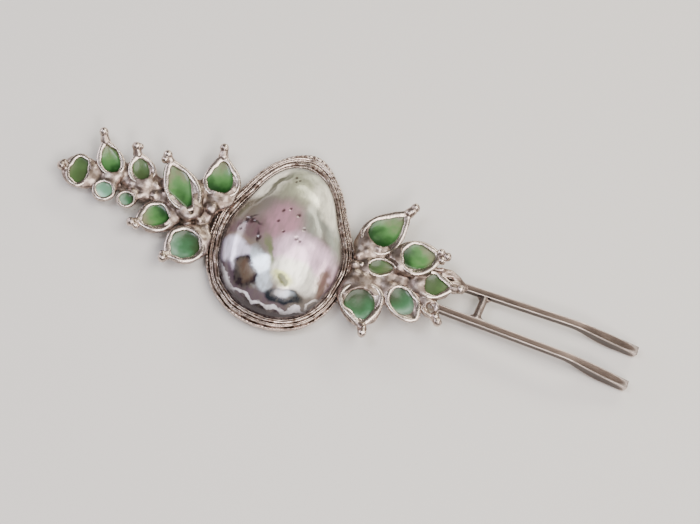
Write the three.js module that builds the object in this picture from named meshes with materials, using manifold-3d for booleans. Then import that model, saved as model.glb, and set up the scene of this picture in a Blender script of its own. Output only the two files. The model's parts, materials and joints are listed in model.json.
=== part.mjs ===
// Decorative hair comb: a two-pronged silver fork that carries a pear-shaped blister pearl in a bezel,
// with a branch of enamelled leaf cups on each side of it.
// Millimetres. +X runs to the prong tips, +Y across the comb, +Z out of the show side.
// The origin lies on the rear face of the setting's back plate, on the fork's centre line.
import * as THREE from "three";
import { mergeVertices } from "three/addons/utils/BufferGeometryUtils.js";
import Module from "manifold-3d";

const wasm = await Module();
wasm.setup();

// ---- Driving dimensions --------------------------------------------------------------------------
const SEAT_GAP = 0.3; // clearance left for solder, cement or enamel wherever two pieces meet

// Setting: the pear outline is a mean radius plus cosine waves, written [count, size, angle in degrees].
const SETTING_RADIUS = 20.1;
const SETTING_CENTRE = new THREE.Vector2(-0.5, -3.05);
const PEAR_WAVES = [[2, 2.7, -87], [3, 1, -27], [4, 0.63, 2.5], [5, 0.4, 19]];
const SEAT_SHIFT = new THREE.Vector2(0.2, -0.7); // how far the pearl's seat lies off the border's middle
const BORDER_WIDTH = 1.4;
const BORDER_HEIGHT = 1.4;
const BORDER_EDGE_HEIGHT = 0.7;
const LIP_WIRE = 0.56; // diameter of the wire laid between border and wall
const WALL_THICKNESS = 0.9;
const WALL_HEIGHT = 2.6;
const PLATE_THICKNESS = 0.9;
const PLATE_INSET = 0.4; // the back plate stays this far inside the border's edge
const BORDER_UNDERCUT = 0.2; // how far the border's foot lies within its edge
const BORDER_ROUND = 0.25; // how far the top of its edge lies within it
const BORDER_CROWN = 0.3; // width of the flat strip at its top
const LIP_CHAMFER = 0.3; // bevel on the outer top edge of the wall
const LIP_SLOPE = 0.2; // how far the wall's top falls towards the pearl

// Pearl: a nacre dome with a cement filling, closed by a mother-of-pearl disc.
const BACKING_THICKNESS = 0.8;
const PEARL_RISE = 10.4;
const NACRE_THICKNESS = 1.2;
const DOME_CAP = 0.08; // share of the outline that is left flat on top of the dome

// Prong wire.
const WIRE_WIDTH = 1.75; // across the comb
const WIRE_DEPTH = 2.1;

// Stems: half-round bars that taper away from the setting; their flat side is the rear.
// The left one carries a twig under each of its leaves; the right one lies between the prongs, and
// its leaves are seated on the prongs as well, so the stems are as high as the prong wire is deep.
const STEM_HEIGHT = WIRE_DEPTH;
const STEM_FLANK = 0.3; // share of the height at which a bar's flank passes into its round top
const STEM_FOOT = 0.8; // share of a bar's width that its flat rear has
const LEFT_STEM = {
  twigs: true,
  root: 1.7,
  end: 0.9,
  path: [[-0.6, -4], [-6.6, -5], [-14, -3.2], [-20, -2.6], [-32.6, -2.4]],
};
const RIGHT_STEM = {
  twigs: false,
  root: 1.6,
  end: 1.3,
  path: [[0.6, -0.6], [6, -0.6], [13, -0.5], [20, -0.5]],
};
const TWIG_HALF_WIDTH = 0.7;
const TWIG_STEP = 0.1; // how far a twig's top lies below the stem's where it starts
const TWIG_REACH = 0.45; // share of the leaf's length that its twig runs under

// Leaf cups.
const CUP_DEPTH = 2.2;
const CUP_WALL = 0.7;
const CUP_FLOOR = 0.5;
const RIM_ROUND = 0.15; // how far the rim's two edges lie below its crest
const ENAMEL_DROP = 0.7; // how far the enamel lies below the rim
// Shares of the half width that the cup and the enamel draw in by, and of the depth where they do so.
const BOWL_BASE = 0.6;
const BOWL_BELLY = 0.2;
const BELLY_LEVEL = 0.65;
const HOLLOW_WAIST = 0.1;
const HOLLOW_FLOOR = 0.45;
const WAIST_LEVEL = 0.5;
const ENAMEL_BASE = 0.5;
const ENAMEL_WAIST = 0.15;
const ENAMEL_EDGE = 0.05;

// Fork.
const PRONG_SPACING = 6.6; // between the prongs' centre lines at their roots
const PRONG_SPLAY = 1.15; // degrees that each prong turns outwards
const FORK_OFFSET = -0.65; // of the fork's root from the middle
const FORK_TURN = 0.6; // degrees that the whole fork turns about its root
const PRONG_STRAIGHT = 55; // from the setting to the bend
const PRONG_TIP = 18.5; // from the bend to the tip
const BEND_ANGLE = 15; // degrees that the tips drop towards the head
const BEND_RADIUS = 14;
const PADDLE_DEPTH = 3.5; // the wire is forged this deep past the bend
const PADDLE_WIDTH = 2.3;
const PADDLE_CREST = 0.55; // share of the tip's length at which it is deepest
const TIP_DEPTH = 2.6;
const CROSSBAR_DIAMETER = 1.7;
const CROSSBAR_AT = 32.3; // from the setting
const CROSSBAR_SLANT = 12; // degrees off square to the prongs

// Smoothness of the round shapes.
const PEAR_SIDES = 40;
const LEAF_SIDES = 16;
const STEM_STATIONS = 10;
const BAR_SIDES = 6;
const DOME_STEPS = 6;
const PADDLE_STEPS = 8;
const WIRE_SIDES = 6;
const CROSSBAR_SIDES = 10;
const STEM_SAMPLES = 40; // places tried when a twig looks for the nearest one on its stem

// Leaves: root place from the setting's edge, heading in degrees, length from root to bead or tip,
// width, point (0 for a round end, 1 for a sharp one), and where they aren't zero, sway of the tip to
// the left, curl of the tip upwards, lift of the rim, and the radius of the bead at the tip.
const PLAIN_LEAF = { sway: 0, curl: 0, lift: 0, bead: 0 };
const LEFT_LEAVES = [
  { x: -0.3, y: 2.2, heading: 106, length: 13, width: 9.4, point: 0.7, curl: 1, bead: 0.9 },
  { x: -1.6, y: -8.6, heading: -126, length: 11.2, width: 9.8, point: 0.2, bead: 0.8 },
  {
    x: -5.8, y: -4.2, heading: 128, length: 15.4, width: 8.8, point: 0.5,
    sway: 0.8, curl: 1, lift: 1.2, bead: 1,
  },
  { x: -10, y: -5.8, heading: -145, length: 10.4, width: 8.2, point: 0.3, bead: 0.8 },
  { x: -18.8, y: -0.9, heading: 124, length: 9.4, width: 7, point: 0.5, curl: 1, lift: 0.3, bead: 0.9 },
  { x: -20.8, y: -4.4, heading: -114, length: 4.6, width: 4.4, point: 0 },
  {
    x: -26.9, y: -2, heading: 114, length: 11, width: 6.8, point: 0.8,
    sway: 1.2, curl: 1, lift: 0.3, bead: 0.9,
  },
  { x: -27, y: -3.6, heading: -104, length: 5.6, width: 5.8, point: 0.2 },
  { x: -31.8, y: -3.2, heading: -174, length: 7.6, width: 8.8, point: 0, bead: 0.9 },
];
const RIGHT_LEAVES = [
  { x: 1.2, y: 3, heading: 60, length: 16.2, width: 10, point: 0.7, curl: 1, bead: 0.9 },
  { x: 2.7, y: -5.8, heading: -70, length: 13.4, width: 11.4, point: 0.6, bead: 0.9 },
  { x: 2.8, y: -1.6, heading: 18, length: 8, width: 5.2, point: 0.5 },
  { x: 9.6, y: 2.4, heading: 24, length: 12, width: 9.2, point: 0.3, lift: 2, bead: 0.9 },
  { x: 10.2, y: -4.2, heading: -37, length: 10.6, width: 8, point: 0.2 },
  { x: 16, y: -0.9, heading: 10, length: 10.6, width: 7.6, point: 0.8, lift: 0.5, bead: 0.9 },
  { x: 19.5, y: -4.6, heading: -47, length: 6, width: 4.6, point: 0.5, bead: 0.9 },
];

// Granules fused on the stems near the setting: place from the setting's edge, and radius.
const LEFT_GRANULES = [
  { x: -1.6, y: -1.4, radius: 1.3 },
  { x: -2.6, y: -5, radius: 1 },
  { x: -10.6, y: -3.6, radius: 0.9 },
];
const RIGHT_GRANULES = [{ x: 1.6, y: -1.4, radius: 1.1 }];

// ---- Materials -----------------------------------------------------------------------------------
const silver = { color: "#c9bdb4", roughness: 0.32, metalness: 1 };
const forgedSilver = { color: "#9c8f88", roughness: 0.4, metalness: 1 };
const enamel = { color: "#4f8f56", roughness: 0.3, metalness: 0 };
const nacre = { color: "#cfc6cc", roughness: 0.12, metalness: 0.3 };
const cement = { color: "#d8cfb8", roughness: 0.7, metalness: 0 };
const shell = { color: "#e4e0d6", roughness: 0.4, metalness: 0 };

const comb = new THREE.Group();

/** Adds one named piece with its own material to a parent group. */
function addPiece(parent, name, geometry, finish) {
  const mesh = new THREE.Mesh(geometry, new THREE.MeshStandardMaterial(finish));
  mesh.name = name;
  parent.add(mesh);
  return mesh;
}

/** Adds an empty group, to hold pieces that are placed together. */
function addGroup(parent, x, y, z) {
  const group = new THREE.Group();
  group.position.set(x, y, z);
  parent.add(group);
  return group;
}

// ---- Solids from rings of points -----------------------------------------------------------------

/** Returns six times the volume that the triangles enclose; negative when they face inwards. */
function signedVolume(points, faces) {
  const cross = new THREE.Vector3();
  let sum = 0;
  for (let i = 0; i < faces.length; i += 3) {
    cross.crossVectors(points[faces[i + 1]], points[faces[i + 2]]);
    sum += points[faces[i]].dot(cross);
  }
  return sum;
}

/** Makes a geometry from points and triangles, turned to face outwards. */
function solidFrom(points, faces) {
  const facing = signedVolume(points, faces) < 0 ? faces.slice().reverse() : faces;
  const geometry = new THREE.BufferGeometry().setFromPoints(points);
  geometry.setIndex(facing);
  geometry.computeVertexNormals();
  return geometry;
}

/** Pushes the two triangles of each quad between ring a and ring b, by their first indices. */
function joinRings(faces, a, b, sides) {
  for (let i = 0; i < sides; i += 1) {
    const next = (i + 1) % sides;
    faces.push(a + i, a + next, b + next);
    faces.push(a + i, b + next, b + i);
  }
}

/** Lofts rings of equal count into one solid, its two ends closed to the middle of the end rings. */
function capsuleSolid(rings) {
  const sides = rings[0].length;
  const points = rings.flat();
  const faces = [];
  for (let k = 0; k + 1 < rings.length; k += 1) {
    joinRings(faces, k * sides, (k + 1) * sides, sides);
  }
  const last = (rings.length - 1) * sides;
  const start = points.push(middleOf(rings[0])) - 1;
  const end = points.push(middleOf(rings[rings.length - 1])) - 1;
  for (let i = 0; i < sides; i += 1) {
    const next = (i + 1) % sides;
    faces.push(start, next, i);
    faces.push(end, last + i, last + next);
  }
  return solidFrom(points, faces);
}

/** Lofts rings of equal count into one tube-like solid whose last ring meets its first. */
function annularSolid(rings) {
  const sides = rings[0].length;
  const faces = [];
  for (let k = 0; k < rings.length; k += 1) {
    joinRings(faces, k * sides, ((k + 1) % rings.length) * sides, sides);
  }
  return solidFrom(rings.flat(), faces);
}

/** Returns a closed geometry as a solid that can be joined to others. */
function toSolid(geometry) {
  const bare = geometry.clone();
  bare.deleteAttribute("normal");
  const merged = mergeVertices(bare);
  const mesh = new wasm.Mesh({
    numProp: 3,
    vertProperties: new Float32Array(merged.attributes.position.array),
    triVerts: new Uint32Array(merged.index.array),
  });
  return new wasm.Manifold(mesh);
}

/** Joins closed geometries that overlap into one. */
function joinGeometries(geometries) {
  const [first, ...others] = geometries.map(toSolid);
  const { vertProperties, triVerts } = others.reduce((whole, next) => whole.add(next), first).getMesh();
  const joined = new THREE.BufferGeometry();
  joined.setAttribute("position", new THREE.BufferAttribute(vertProperties, 3));
  joined.setIndex(new THREE.BufferAttribute(triVerts, 1));
  joined.computeVertexNormals();
  return joined;
}

/** Returns the mean of a ring's points. */
function middleOf(ring) {
  const middle = new THREE.Vector3();
  ring.forEach((point) => middle.add(point));
  return middle.divideScalar(ring.length);
}

// ---- Setting and pearl ---------------------------------------------------------------------------
const WALL_INSET = BORDER_WIDTH + SEAT_GAP; // the bezel wall's outer face
const SEAT_INSET = WALL_INSET + WALL_THICKNESS + SEAT_GAP; // the pearl's edge
const WALL_FOOT = PLATE_THICKNESS + SEAT_GAP;
const PEARL_FOOT = WALL_FOOT + BACKING_THICKNESS + SEAT_GAP;

/** Returns the pear outline's radius at an angle. */
function pearRadius(angle) {
  return PEAR_WAVES.reduce(
    (sum, [count, size, at]) => sum + size * Math.cos(count * (angle - THREE.MathUtils.degToRad(at))),
    SETTING_RADIUS,
  );
}

/** Returns the ring that lies the given inset within the pear outline, shrunk to a share of itself. */
function pearRing(inset, height, share = 1) {
  const shift = Math.min(inset, SEAT_INSET) / SEAT_INSET;
  const ring = [];
  for (let i = 0; i < PEAR_SIDES; i += 1) {
    const angle = (2 * Math.PI * i) / PEAR_SIDES;
    const reach = (pearRadius(angle) - inset) * share;
    const x = SETTING_CENTRE.x + SEAT_SHIFT.x * shift + reach * Math.cos(angle);
    const y = SETTING_CENTRE.y + SEAT_SHIFT.y * shift + reach * Math.sin(angle);
    ring.push(new THREE.Vector3(x, y, height));
  }
  return ring;
}

/** Makes a flat disc with the pear outline. */
function pearDisc(inset, bottom, thickness) {
  return capsuleSolid([pearRing(inset, bottom), pearRing(inset, bottom + thickness)]);
}

/** Returns the rings of a dome over the pear outline, from its foot to just below its top. */
function domeRings(inset, foot, rise) {
  const rings = [];
  for (let k = 0; k < DOME_STEPS; k += 1) {
    const lean = (k / DOME_STEPS) * (Math.PI / 2);
    rings.push(pearRing(inset, foot + rise * Math.sin(lean), Math.cos(lean)));
  }
  rings.push(pearRing(inset, foot + rise, DOME_CAP));
  return rings;
}

/** Adds the back plate, the bezel and its wires. */
function addSetting(parent) {
  addPiece(parent, "back_plate", pearDisc(PLATE_INSET, 0, PLATE_THICKNESS), silver);

  const borderTop = WALL_FOOT + BORDER_HEIGHT;
  const border = [
    pearRing(BORDER_UNDERCUT, WALL_FOOT),
    pearRing(0, WALL_FOOT + BORDER_EDGE_HEIGHT / 2),
    pearRing(BORDER_ROUND, WALL_FOOT + BORDER_EDGE_HEIGHT),
    pearRing(BORDER_WIDTH - BORDER_CROWN, borderTop),
    pearRing(BORDER_WIDTH, borderTop),
    pearRing(BORDER_WIDTH, WALL_FOOT),
  ];
  addPiece(parent, "bezel_border", annularSolid(border), silver);

  const wireInset = WALL_INSET - SEAT_GAP - LIP_WIRE / 2;
  const wireHeight = borderTop + SEAT_GAP + LIP_WIRE / 2;
  const wire = [];
  for (let k = 0; k < WIRE_SIDES; k += 1) {
    const turn = (2 * Math.PI * k) / WIRE_SIDES;
    const inset = wireInset + (LIP_WIRE / 2) * Math.cos(turn);
    wire.push(pearRing(inset, wireHeight + (LIP_WIRE / 2) * Math.sin(turn)));
  }
  addPiece(parent, "lip_wire", annularSolid(wire), silver);

  const wallInner = WALL_INSET + WALL_THICKNESS;
  const wall = [
    pearRing(WALL_INSET, WALL_FOOT),
    pearRing(WALL_INSET, WALL_FOOT + WALL_HEIGHT - LIP_CHAMFER),
    pearRing(WALL_INSET + LIP_CHAMFER, WALL_FOOT + WALL_HEIGHT),
    pearRing(wallInner, WALL_FOOT + WALL_HEIGHT - LIP_SLOPE),
    pearRing(wallInner, WALL_FOOT),
  ];
  addPiece(parent, "bezel_wall", annularSolid(wall), silver);
}

/** Adds the blister pearl: nacre dome, filling and backing disc. */
function addPearl(parent) {
  addPiece(parent, "pearl_backing", pearDisc(SEAT_INSET, WALL_FOOT, BACKING_THICKNESS), shell);

  const hollow = SEAT_INSET + NACRE_THICKNESS;
  const inside = domeRings(hollow, PEARL_FOOT, PEARL_RISE - NACRE_THICKNESS);
  const outside = domeRings(SEAT_INSET, PEARL_FOOT, PEARL_RISE);
  addPiece(parent, "pearl", capsuleSolid([...inside.reverse(), ...outside]), nacre);

  const fillRise = PEARL_RISE - NACRE_THICKNESS - SEAT_GAP;
  const filling = domeRings(hollow + SEAT_GAP, PEARL_FOOT, fillRise);
  addPiece(parent, "pearl_filler", capsuleSolid(filling), cement);
}

// ---- Branches ------------------------------------------------------------------------------------

/** Returns a half-round section with a flat rear, across a direction. */
function barSection(place, along, half, height) {
  const ring = [];
  const at = (side, level) => {
    ring.push(new THREE.Vector3(place.x - along.y * side, place.y + along.x * side, level));
  };
  for (let i = 0; i <= BAR_SIDES; i += 1) {
    const turn = (Math.PI * i) / BAR_SIDES;
    at(half * Math.cos(turn), height * (STEM_FLANK + (1 - STEM_FLANK) * Math.sin(turn)));
  }
  at(-half * STEM_FOOT, 0);
  at(half * STEM_FOOT, 0);
  return ring;
}

/** Returns the middle line of a stem. */
function stemLine({ path }) {
  return new THREE.CatmullRomCurve3(path.map(([x, y]) => new THREE.Vector3(x, y, 0)));
}

/** Makes a half-round bar along a stem's line, tapering from its root to its end. */
function stemSolid(stem) {
  const line = stemLine(stem);
  const rings = [];
  for (let k = 0; k <= STEM_STATIONS; k += 1) {
    const share = k / STEM_STATIONS;
    const half = THREE.MathUtils.lerp(stem.root, stem.end, share);
    rings.push(barSection(line.getPointAt(share), line.getTangentAt(share), half, STEM_HEIGHT));
  }
  return capsuleSolid(rings);
}

/** Makes the twig that runs from the stem's line to under a leaf, rising by the leaf's lift. */
function twigSolid(line, leaf) {
  const turn = THREE.MathUtils.degToRad(leaf.heading);
  const heading = new THREE.Vector3(Math.cos(turn), Math.sin(turn), 0);
  const root = new THREE.Vector3(leaf.x, leaf.y, 0);
  const end = root.clone().addScaledVector(heading, leaf.length * TWIG_REACH);
  const nearest = line.getSpacedPoints(STEM_SAMPLES).reduce((best, point) => {
    return point.distanceTo(root) < best.distanceTo(root) ? point : best;
  });
  const along = end.clone().sub(nearest).normalize();
  return capsuleSolid([
    barSection(nearest, along, TWIG_HALF_WIDTH, STEM_HEIGHT - TWIG_STEP),
    barSection(end, along, TWIG_HALF_WIDTH, STEM_HEIGHT + leaf.lift),
  ]);
}

/** Returns the leaf cup's own length, which ends short of the bead where there is one. */
function cupLength(leaf) {
  return leaf.bead > 0 ? leaf.length - leaf.bead - SEAT_GAP : leaf.length;
}

/**
 * Returns the ring that lies the given inset within a leaf's outline, at a level below its rim.
 * Lengthwise it draws in further, more so at a sharp tip, where the two sides close up slowly.
 */
function leafRing(leaf, inset, level) {
  const long = cupLength(leaf) - inset * (2 + leaf.point);
  const half = leaf.width / 2 - inset;
  // sin(t)·cos(t/2)^point is this large at its widest, so that the leaf comes out as wide as stated.
  const { point } = leaf;
  const crest = (2 * (1 + point) ** ((1 + point) / 2)) / (2 + point) ** ((2 + point) / 2);
  const ring = [];
  for (let i = 0; i < LEAF_SIDES; i += 1) {
    const turn = (2 * Math.PI * i) / LEAF_SIDES;
    const x = inset + (long * (1 - Math.cos(turn))) / 2;
    const narrowing = Math.abs(Math.cos(turn / 2)) ** leaf.point;
    const share = x / cupLength(leaf);
    const y = (half * Math.sin(turn) * narrowing) / crest + leaf.sway * share ** 2;
    ring.push(new THREE.Vector3(x, y, level + leaf.curl * share ** 2));
  }
  return ring;
}

/** Makes the silver cup of a leaf: an open bowl with a rounded rim. */
function cupSolid(leaf) {
  const half = leaf.width / 2;
  const inner = half - CUP_WALL;
  return capsuleSolid([
    leafRing(leaf, half * BOWL_BASE, -CUP_DEPTH),
    leafRing(leaf, half * BOWL_BELLY, -CUP_DEPTH * BELLY_LEVEL),
    leafRing(leaf, 0, -RIM_ROUND),
    leafRing(leaf, CUP_WALL / 2, 0),
    leafRing(leaf, CUP_WALL, -RIM_ROUND),
    leafRing(leaf, CUP_WALL + inner * HOLLOW_WAIST, -CUP_DEPTH * WAIST_LEVEL),
    leafRing(leaf, CUP_WALL + inner * HOLLOW_FLOOR, -CUP_DEPTH + CUP_FLOOR),
  ]);
}

/** Makes the enamel that fills the lower part of a leaf cup. */
function enamelSolid(leaf) {
  const edge = CUP_WALL + SEAT_GAP;
  const inner = leaf.width / 2 - edge;
  return capsuleSolid([
    leafRing(leaf, edge + inner * ENAMEL_BASE, -CUP_DEPTH + CUP_FLOOR + SEAT_GAP),
    leafRing(leaf, edge + inner * ENAMEL_WAIST, -CUP_DEPTH * WAIST_LEVEL),
    leafRing(leaf, edge + inner * ENAMEL_EDGE, -ENAMEL_DROP),
  ]);
}

/** Adds one leaf: cup, enamel and, where it has one, the bead at its tip. */
function addLeaf(branch, name, leaf) {
  const rim = STEM_HEIGHT + SEAT_GAP + CUP_DEPTH + leaf.lift;
  const group = addGroup(branch, leaf.x, leaf.y, rim);
  group.rotation.z = THREE.MathUtils.degToRad(leaf.heading);
  addPiece(group, `${name}_cup`, cupSolid(leaf), silver);
  addPiece(group, `${name}_enamel`, enamelSolid(leaf), enamel);
  if (leaf.bead > 0) {
    const bead = addPiece(group, `${name}_bead`, new THREE.IcosahedronGeometry(leaf.bead, 1), silver);
    bead.position.set(leaf.length, leaf.sway, leaf.curl);
  }
}

/** Adds one branch: its stem, its leaves and its granules. */
function addBranch(parent, side, edge, stem, leafRows, granules) {
  const branch = addGroup(parent, edge, 0, 0);
  const leaves = leafRows.map((row) => ({ ...PLAIN_LEAF, ...row }));
  const twigs = stem.twigs ? leaves.map((leaf) => twigSolid(stemLine(stem), leaf)) : [];
  addPiece(branch, `${side}_stem`, joinGeometries([stemSolid(stem), ...twigs]), silver);
  leaves.forEach((leaf, index) => addLeaf(branch, `${side}_leaf_${index + 1}`, leaf));
  granules.forEach(({ x, y, radius }, index) => {
    const name = `${side}_granule_${index + 1}`;
    const granule = addPiece(branch, name, new THREE.IcosahedronGeometry(radius, 1), silver);
    granule.position.set(x, y, STEM_HEIGHT + SEAT_GAP + radius);
  });
}

// ---- Fork ----------------------------------------------------------------------------------------

/** Returns the place and the downward lean, in radians, of a prong's top line at a distance along it. */
function prongLine(distance) {
  const drop = THREE.MathUtils.degToRad(BEND_ANGLE);
  const past = THREE.MathUtils.clamp(distance - PRONG_STRAIGHT, 0, BEND_RADIUS * drop);
  const lean = past / BEND_RADIUS;
  const rest = Math.max(0, distance - PRONG_STRAIGHT - past);
  const x = Math.min(distance, PRONG_STRAIGHT) + BEND_RADIUS * Math.sin(lean) + rest * Math.cos(lean);
  const z = WIRE_DEPTH - BEND_RADIUS * (1 - Math.cos(lean)) - rest * Math.sin(lean);
  return { x, z, lean };
}

/** Returns the rectangular section of a prong at a distance along it, square to its top line. */
function prongSection(distance, depth, width) {
  const { x, z, lean } = prongLine(distance);
  const bottomX = x - depth * Math.sin(lean);
  const bottomZ = z - depth * Math.cos(lean);
  return [
    new THREE.Vector3(x, -width / 2, z),
    new THREE.Vector3(x, width / 2, z),
    new THREE.Vector3(bottomX, width / 2, bottomZ),
    new THREE.Vector3(bottomX, -width / 2, bottomZ),
  ];
}

/** Makes a prong: straight wire that bends down into a tip forged deeper and wider. */
function prongSolid() {
  const sections = [
    prongSection(0, WIRE_DEPTH, WIRE_WIDTH),
    prongSection(PRONG_STRAIGHT, WIRE_DEPTH, WIRE_WIDTH),
  ];
  for (let k = 1; k <= PADDLE_STEPS; k += 1) {
    const share = k / PADDLE_STEPS;
    const swell = Math.sin(Math.min(1, share / PADDLE_CREST) * (Math.PI / 2)) ** 2;
    const fade = THREE.MathUtils.smoothstep(share, PADDLE_CREST, 1);
    const depth = WIRE_DEPTH + (PADDLE_DEPTH - WIRE_DEPTH) * swell - (PADDLE_DEPTH - TIP_DEPTH) * fade;
    const width = WIRE_WIDTH + (PADDLE_WIDTH - WIRE_WIDTH) * swell;
    sections.push(prongSection(PRONG_STRAIGHT + PRONG_TIP * share, depth, width));
  }
  return capsuleSolid(sections);
}

/** Adds the two prongs and the crossbar between them. */
function addFork(parent, edge) {
  const fork = addGroup(parent, edge + SEAT_GAP, FORK_OFFSET, 0);
  fork.rotation.z = THREE.MathUtils.degToRad(FORK_TURN);
  const splay = THREE.MathUtils.degToRad(PRONG_SPLAY);
  for (const [name, side] of [["upper_prong", 1], ["lower_prong", -1]]) {
    const prong = addPiece(fork, name, prongSolid(), forgedSilver);
    prong.position.y = (side * PRONG_SPACING) / 2;
    prong.rotation.z = side * splay;
  }

  const inner = PRONG_SPACING / 2 + CROSSBAR_AT * Math.sin(splay) - WIRE_WIDTH / 2;
  const slant = THREE.MathUtils.degToRad(CROSSBAR_SLANT);
  const length = 2 * (inner - SEAT_GAP) - CROSSBAR_DIAMETER * Math.tan(slant);
  const radius = CROSSBAR_DIAMETER / 2;
  const bar = new THREE.CylinderGeometry(radius, radius, length, CROSSBAR_SIDES);
  const crossbar = addPiece(fork, "crossbar", bar, forgedSilver);
  crossbar.position.set(CROSSBAR_AT, 0, WIRE_DEPTH / 2);
  crossbar.rotation.z = -slant;
}

// ---- Assembly ------------------------------------------------------------------------------------
const leftEdge = SETTING_CENTRE.x - pearRadius(Math.PI);
const rightEdge = SETTING_CENTRE.x + pearRadius(0);

addSetting(comb);
addPearl(comb);
addBranch(comb, "left", leftEdge, LEFT_STEM, LEFT_LEAVES, LEFT_GRANULES);
addBranch(comb, "right", rightEdge, RIGHT_STEM, RIGHT_LEAVES, RIGHT_GRANULES);
addFork(comb, rightEdge);

export default comb;
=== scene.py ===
"""Silver hair comb with a domed pearl and branches of enamelled leaves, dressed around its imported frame.

All sizes are in millimetres until a piece is finished, when its mesh is brought to metres.
+X runs to the prong tips, +Y across the comb towards the point of the pear, +Z out of the show side.
"""

import json
import logging
import math
from collections.abc import Callable
from dataclasses import dataclass, field
from enum import Enum
from functools import lru_cache

import bmesh
import bpy
from mathutils import Matrix, Vector, noise

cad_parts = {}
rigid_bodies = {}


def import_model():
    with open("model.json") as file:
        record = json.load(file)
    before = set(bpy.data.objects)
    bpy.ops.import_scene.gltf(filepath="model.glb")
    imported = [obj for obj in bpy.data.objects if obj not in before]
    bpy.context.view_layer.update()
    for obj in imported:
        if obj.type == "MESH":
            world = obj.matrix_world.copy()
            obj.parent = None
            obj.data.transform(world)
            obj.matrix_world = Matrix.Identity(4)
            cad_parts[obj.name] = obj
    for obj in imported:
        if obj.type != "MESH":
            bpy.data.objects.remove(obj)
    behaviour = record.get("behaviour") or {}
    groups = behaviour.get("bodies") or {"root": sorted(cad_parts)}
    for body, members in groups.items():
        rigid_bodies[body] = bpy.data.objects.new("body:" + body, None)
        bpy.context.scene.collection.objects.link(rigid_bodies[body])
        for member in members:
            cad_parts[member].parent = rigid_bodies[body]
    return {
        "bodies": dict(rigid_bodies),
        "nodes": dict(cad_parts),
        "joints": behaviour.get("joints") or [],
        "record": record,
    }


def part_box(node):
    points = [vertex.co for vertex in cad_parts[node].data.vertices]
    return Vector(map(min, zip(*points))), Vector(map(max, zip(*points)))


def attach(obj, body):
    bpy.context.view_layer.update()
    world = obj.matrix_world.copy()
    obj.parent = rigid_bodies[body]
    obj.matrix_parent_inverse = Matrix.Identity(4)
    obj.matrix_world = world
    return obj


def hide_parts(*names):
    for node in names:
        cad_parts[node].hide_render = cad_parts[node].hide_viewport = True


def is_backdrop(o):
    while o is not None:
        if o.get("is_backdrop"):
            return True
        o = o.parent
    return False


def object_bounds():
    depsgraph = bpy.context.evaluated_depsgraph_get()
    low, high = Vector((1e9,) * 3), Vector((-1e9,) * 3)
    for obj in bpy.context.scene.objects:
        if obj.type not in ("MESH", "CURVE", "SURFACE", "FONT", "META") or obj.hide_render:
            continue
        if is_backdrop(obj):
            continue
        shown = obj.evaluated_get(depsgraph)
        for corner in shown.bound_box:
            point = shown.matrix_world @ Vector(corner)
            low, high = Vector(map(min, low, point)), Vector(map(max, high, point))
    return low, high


MM = 0.001
TAU = 2 * math.pi
WANDER_SEED = 7
HAND_WANDER = (3.2, 0.16)  # how far apart the swells of handwork are, and how deep, in millimetres
TOOL_WANDER = (0.8, 0.035)  # the same for the finer marks of the tools
LOG = logging.getLogger("hair_comb")


# ---- Shared helpers -----------------------------------------------------------------------------


def linear(code: str) -> tuple[float, float, float, float]:
    """Turns an sRGB hex colour into linear RGBA.

    Args:
        code: six hex digits after a hash.

    Returns:
        Red, green, blue and an alpha of one.
    """
    shares = [int(code[i : i + 2], 16) / 255 for i in (1, 3, 5)]
    bent = [s / 12.92 if s <= 0.04045 else ((s + 0.055) / 1.055) ** 2.4 for s in shares]
    return (bent[0], bent[1], bent[2], 1.0)


def per_metre(size: float) -> float:
    """Returns the texture scale whose features are about the given size in millimetres."""
    return 1 / (size * MM)


def mix(a: float, b: float, share: float) -> float:
    """Returns the value that lies a share of the way from a to b."""
    return a + (b - a) * share


def ease(share: float) -> float:
    """Returns a share that starts and ends slowly."""
    held = min(1.0, max(0.0, share))
    return held * held * (3 - 2 * held)


def node_points(frame: dict, name: str) -> list[Vector]:
    """Returns the points of a frame node, in millimetres."""
    return [vert.co / MM for vert in frame["nodes"][name].data.vertices]


def hand_made(place: Vector, size: float, depth: float) -> Vector:
    """Returns the small wander of a hand-made surface at a place.

    Args:
        place: the place in millimetres.
        size: how far apart the swells are.
        depth: how far the surface wanders.

    Returns:
        The offset to add.
    """
    return noise.noise_vector(place / size) * depth


def distinct(points: list[Vector]) -> list[Vector]:
    """Returns points without those that lie together."""
    return list({tuple(round(c, 4) for c in point): point for point in points}.values())


def turns_of(count: int) -> list[float]:
    """Returns the angles of points evenly spaced round a circle."""
    return [TAU * step / count for step in range(count)]


def to_mesh(bm: bmesh.types.BMesh, name: str) -> bpy.types.Mesh:
    """Turns a mesh under edit, which it frees, into a named mesh."""
    mesh = bpy.data.meshes.new(name)
    bm.to_mesh(mesh)
    bm.free()
    return mesh


def pour(part: bmesh.types.BMesh, whole: bmesh.types.BMesh) -> None:
    """Adds a mesh under edit, which it frees, to another one."""
    mesh = to_mesh(part, "poured")
    whole.from_mesh(mesh)
    bpy.data.meshes.remove(mesh)


def add_object(name: str, data: bpy.types.ID) -> bpy.types.Object:
    """Puts a new object with the given data in the scene."""
    thing = bpy.data.objects.new(name, data)
    bpy.context.scene.collection.objects.link(thing)
    return thing


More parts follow.
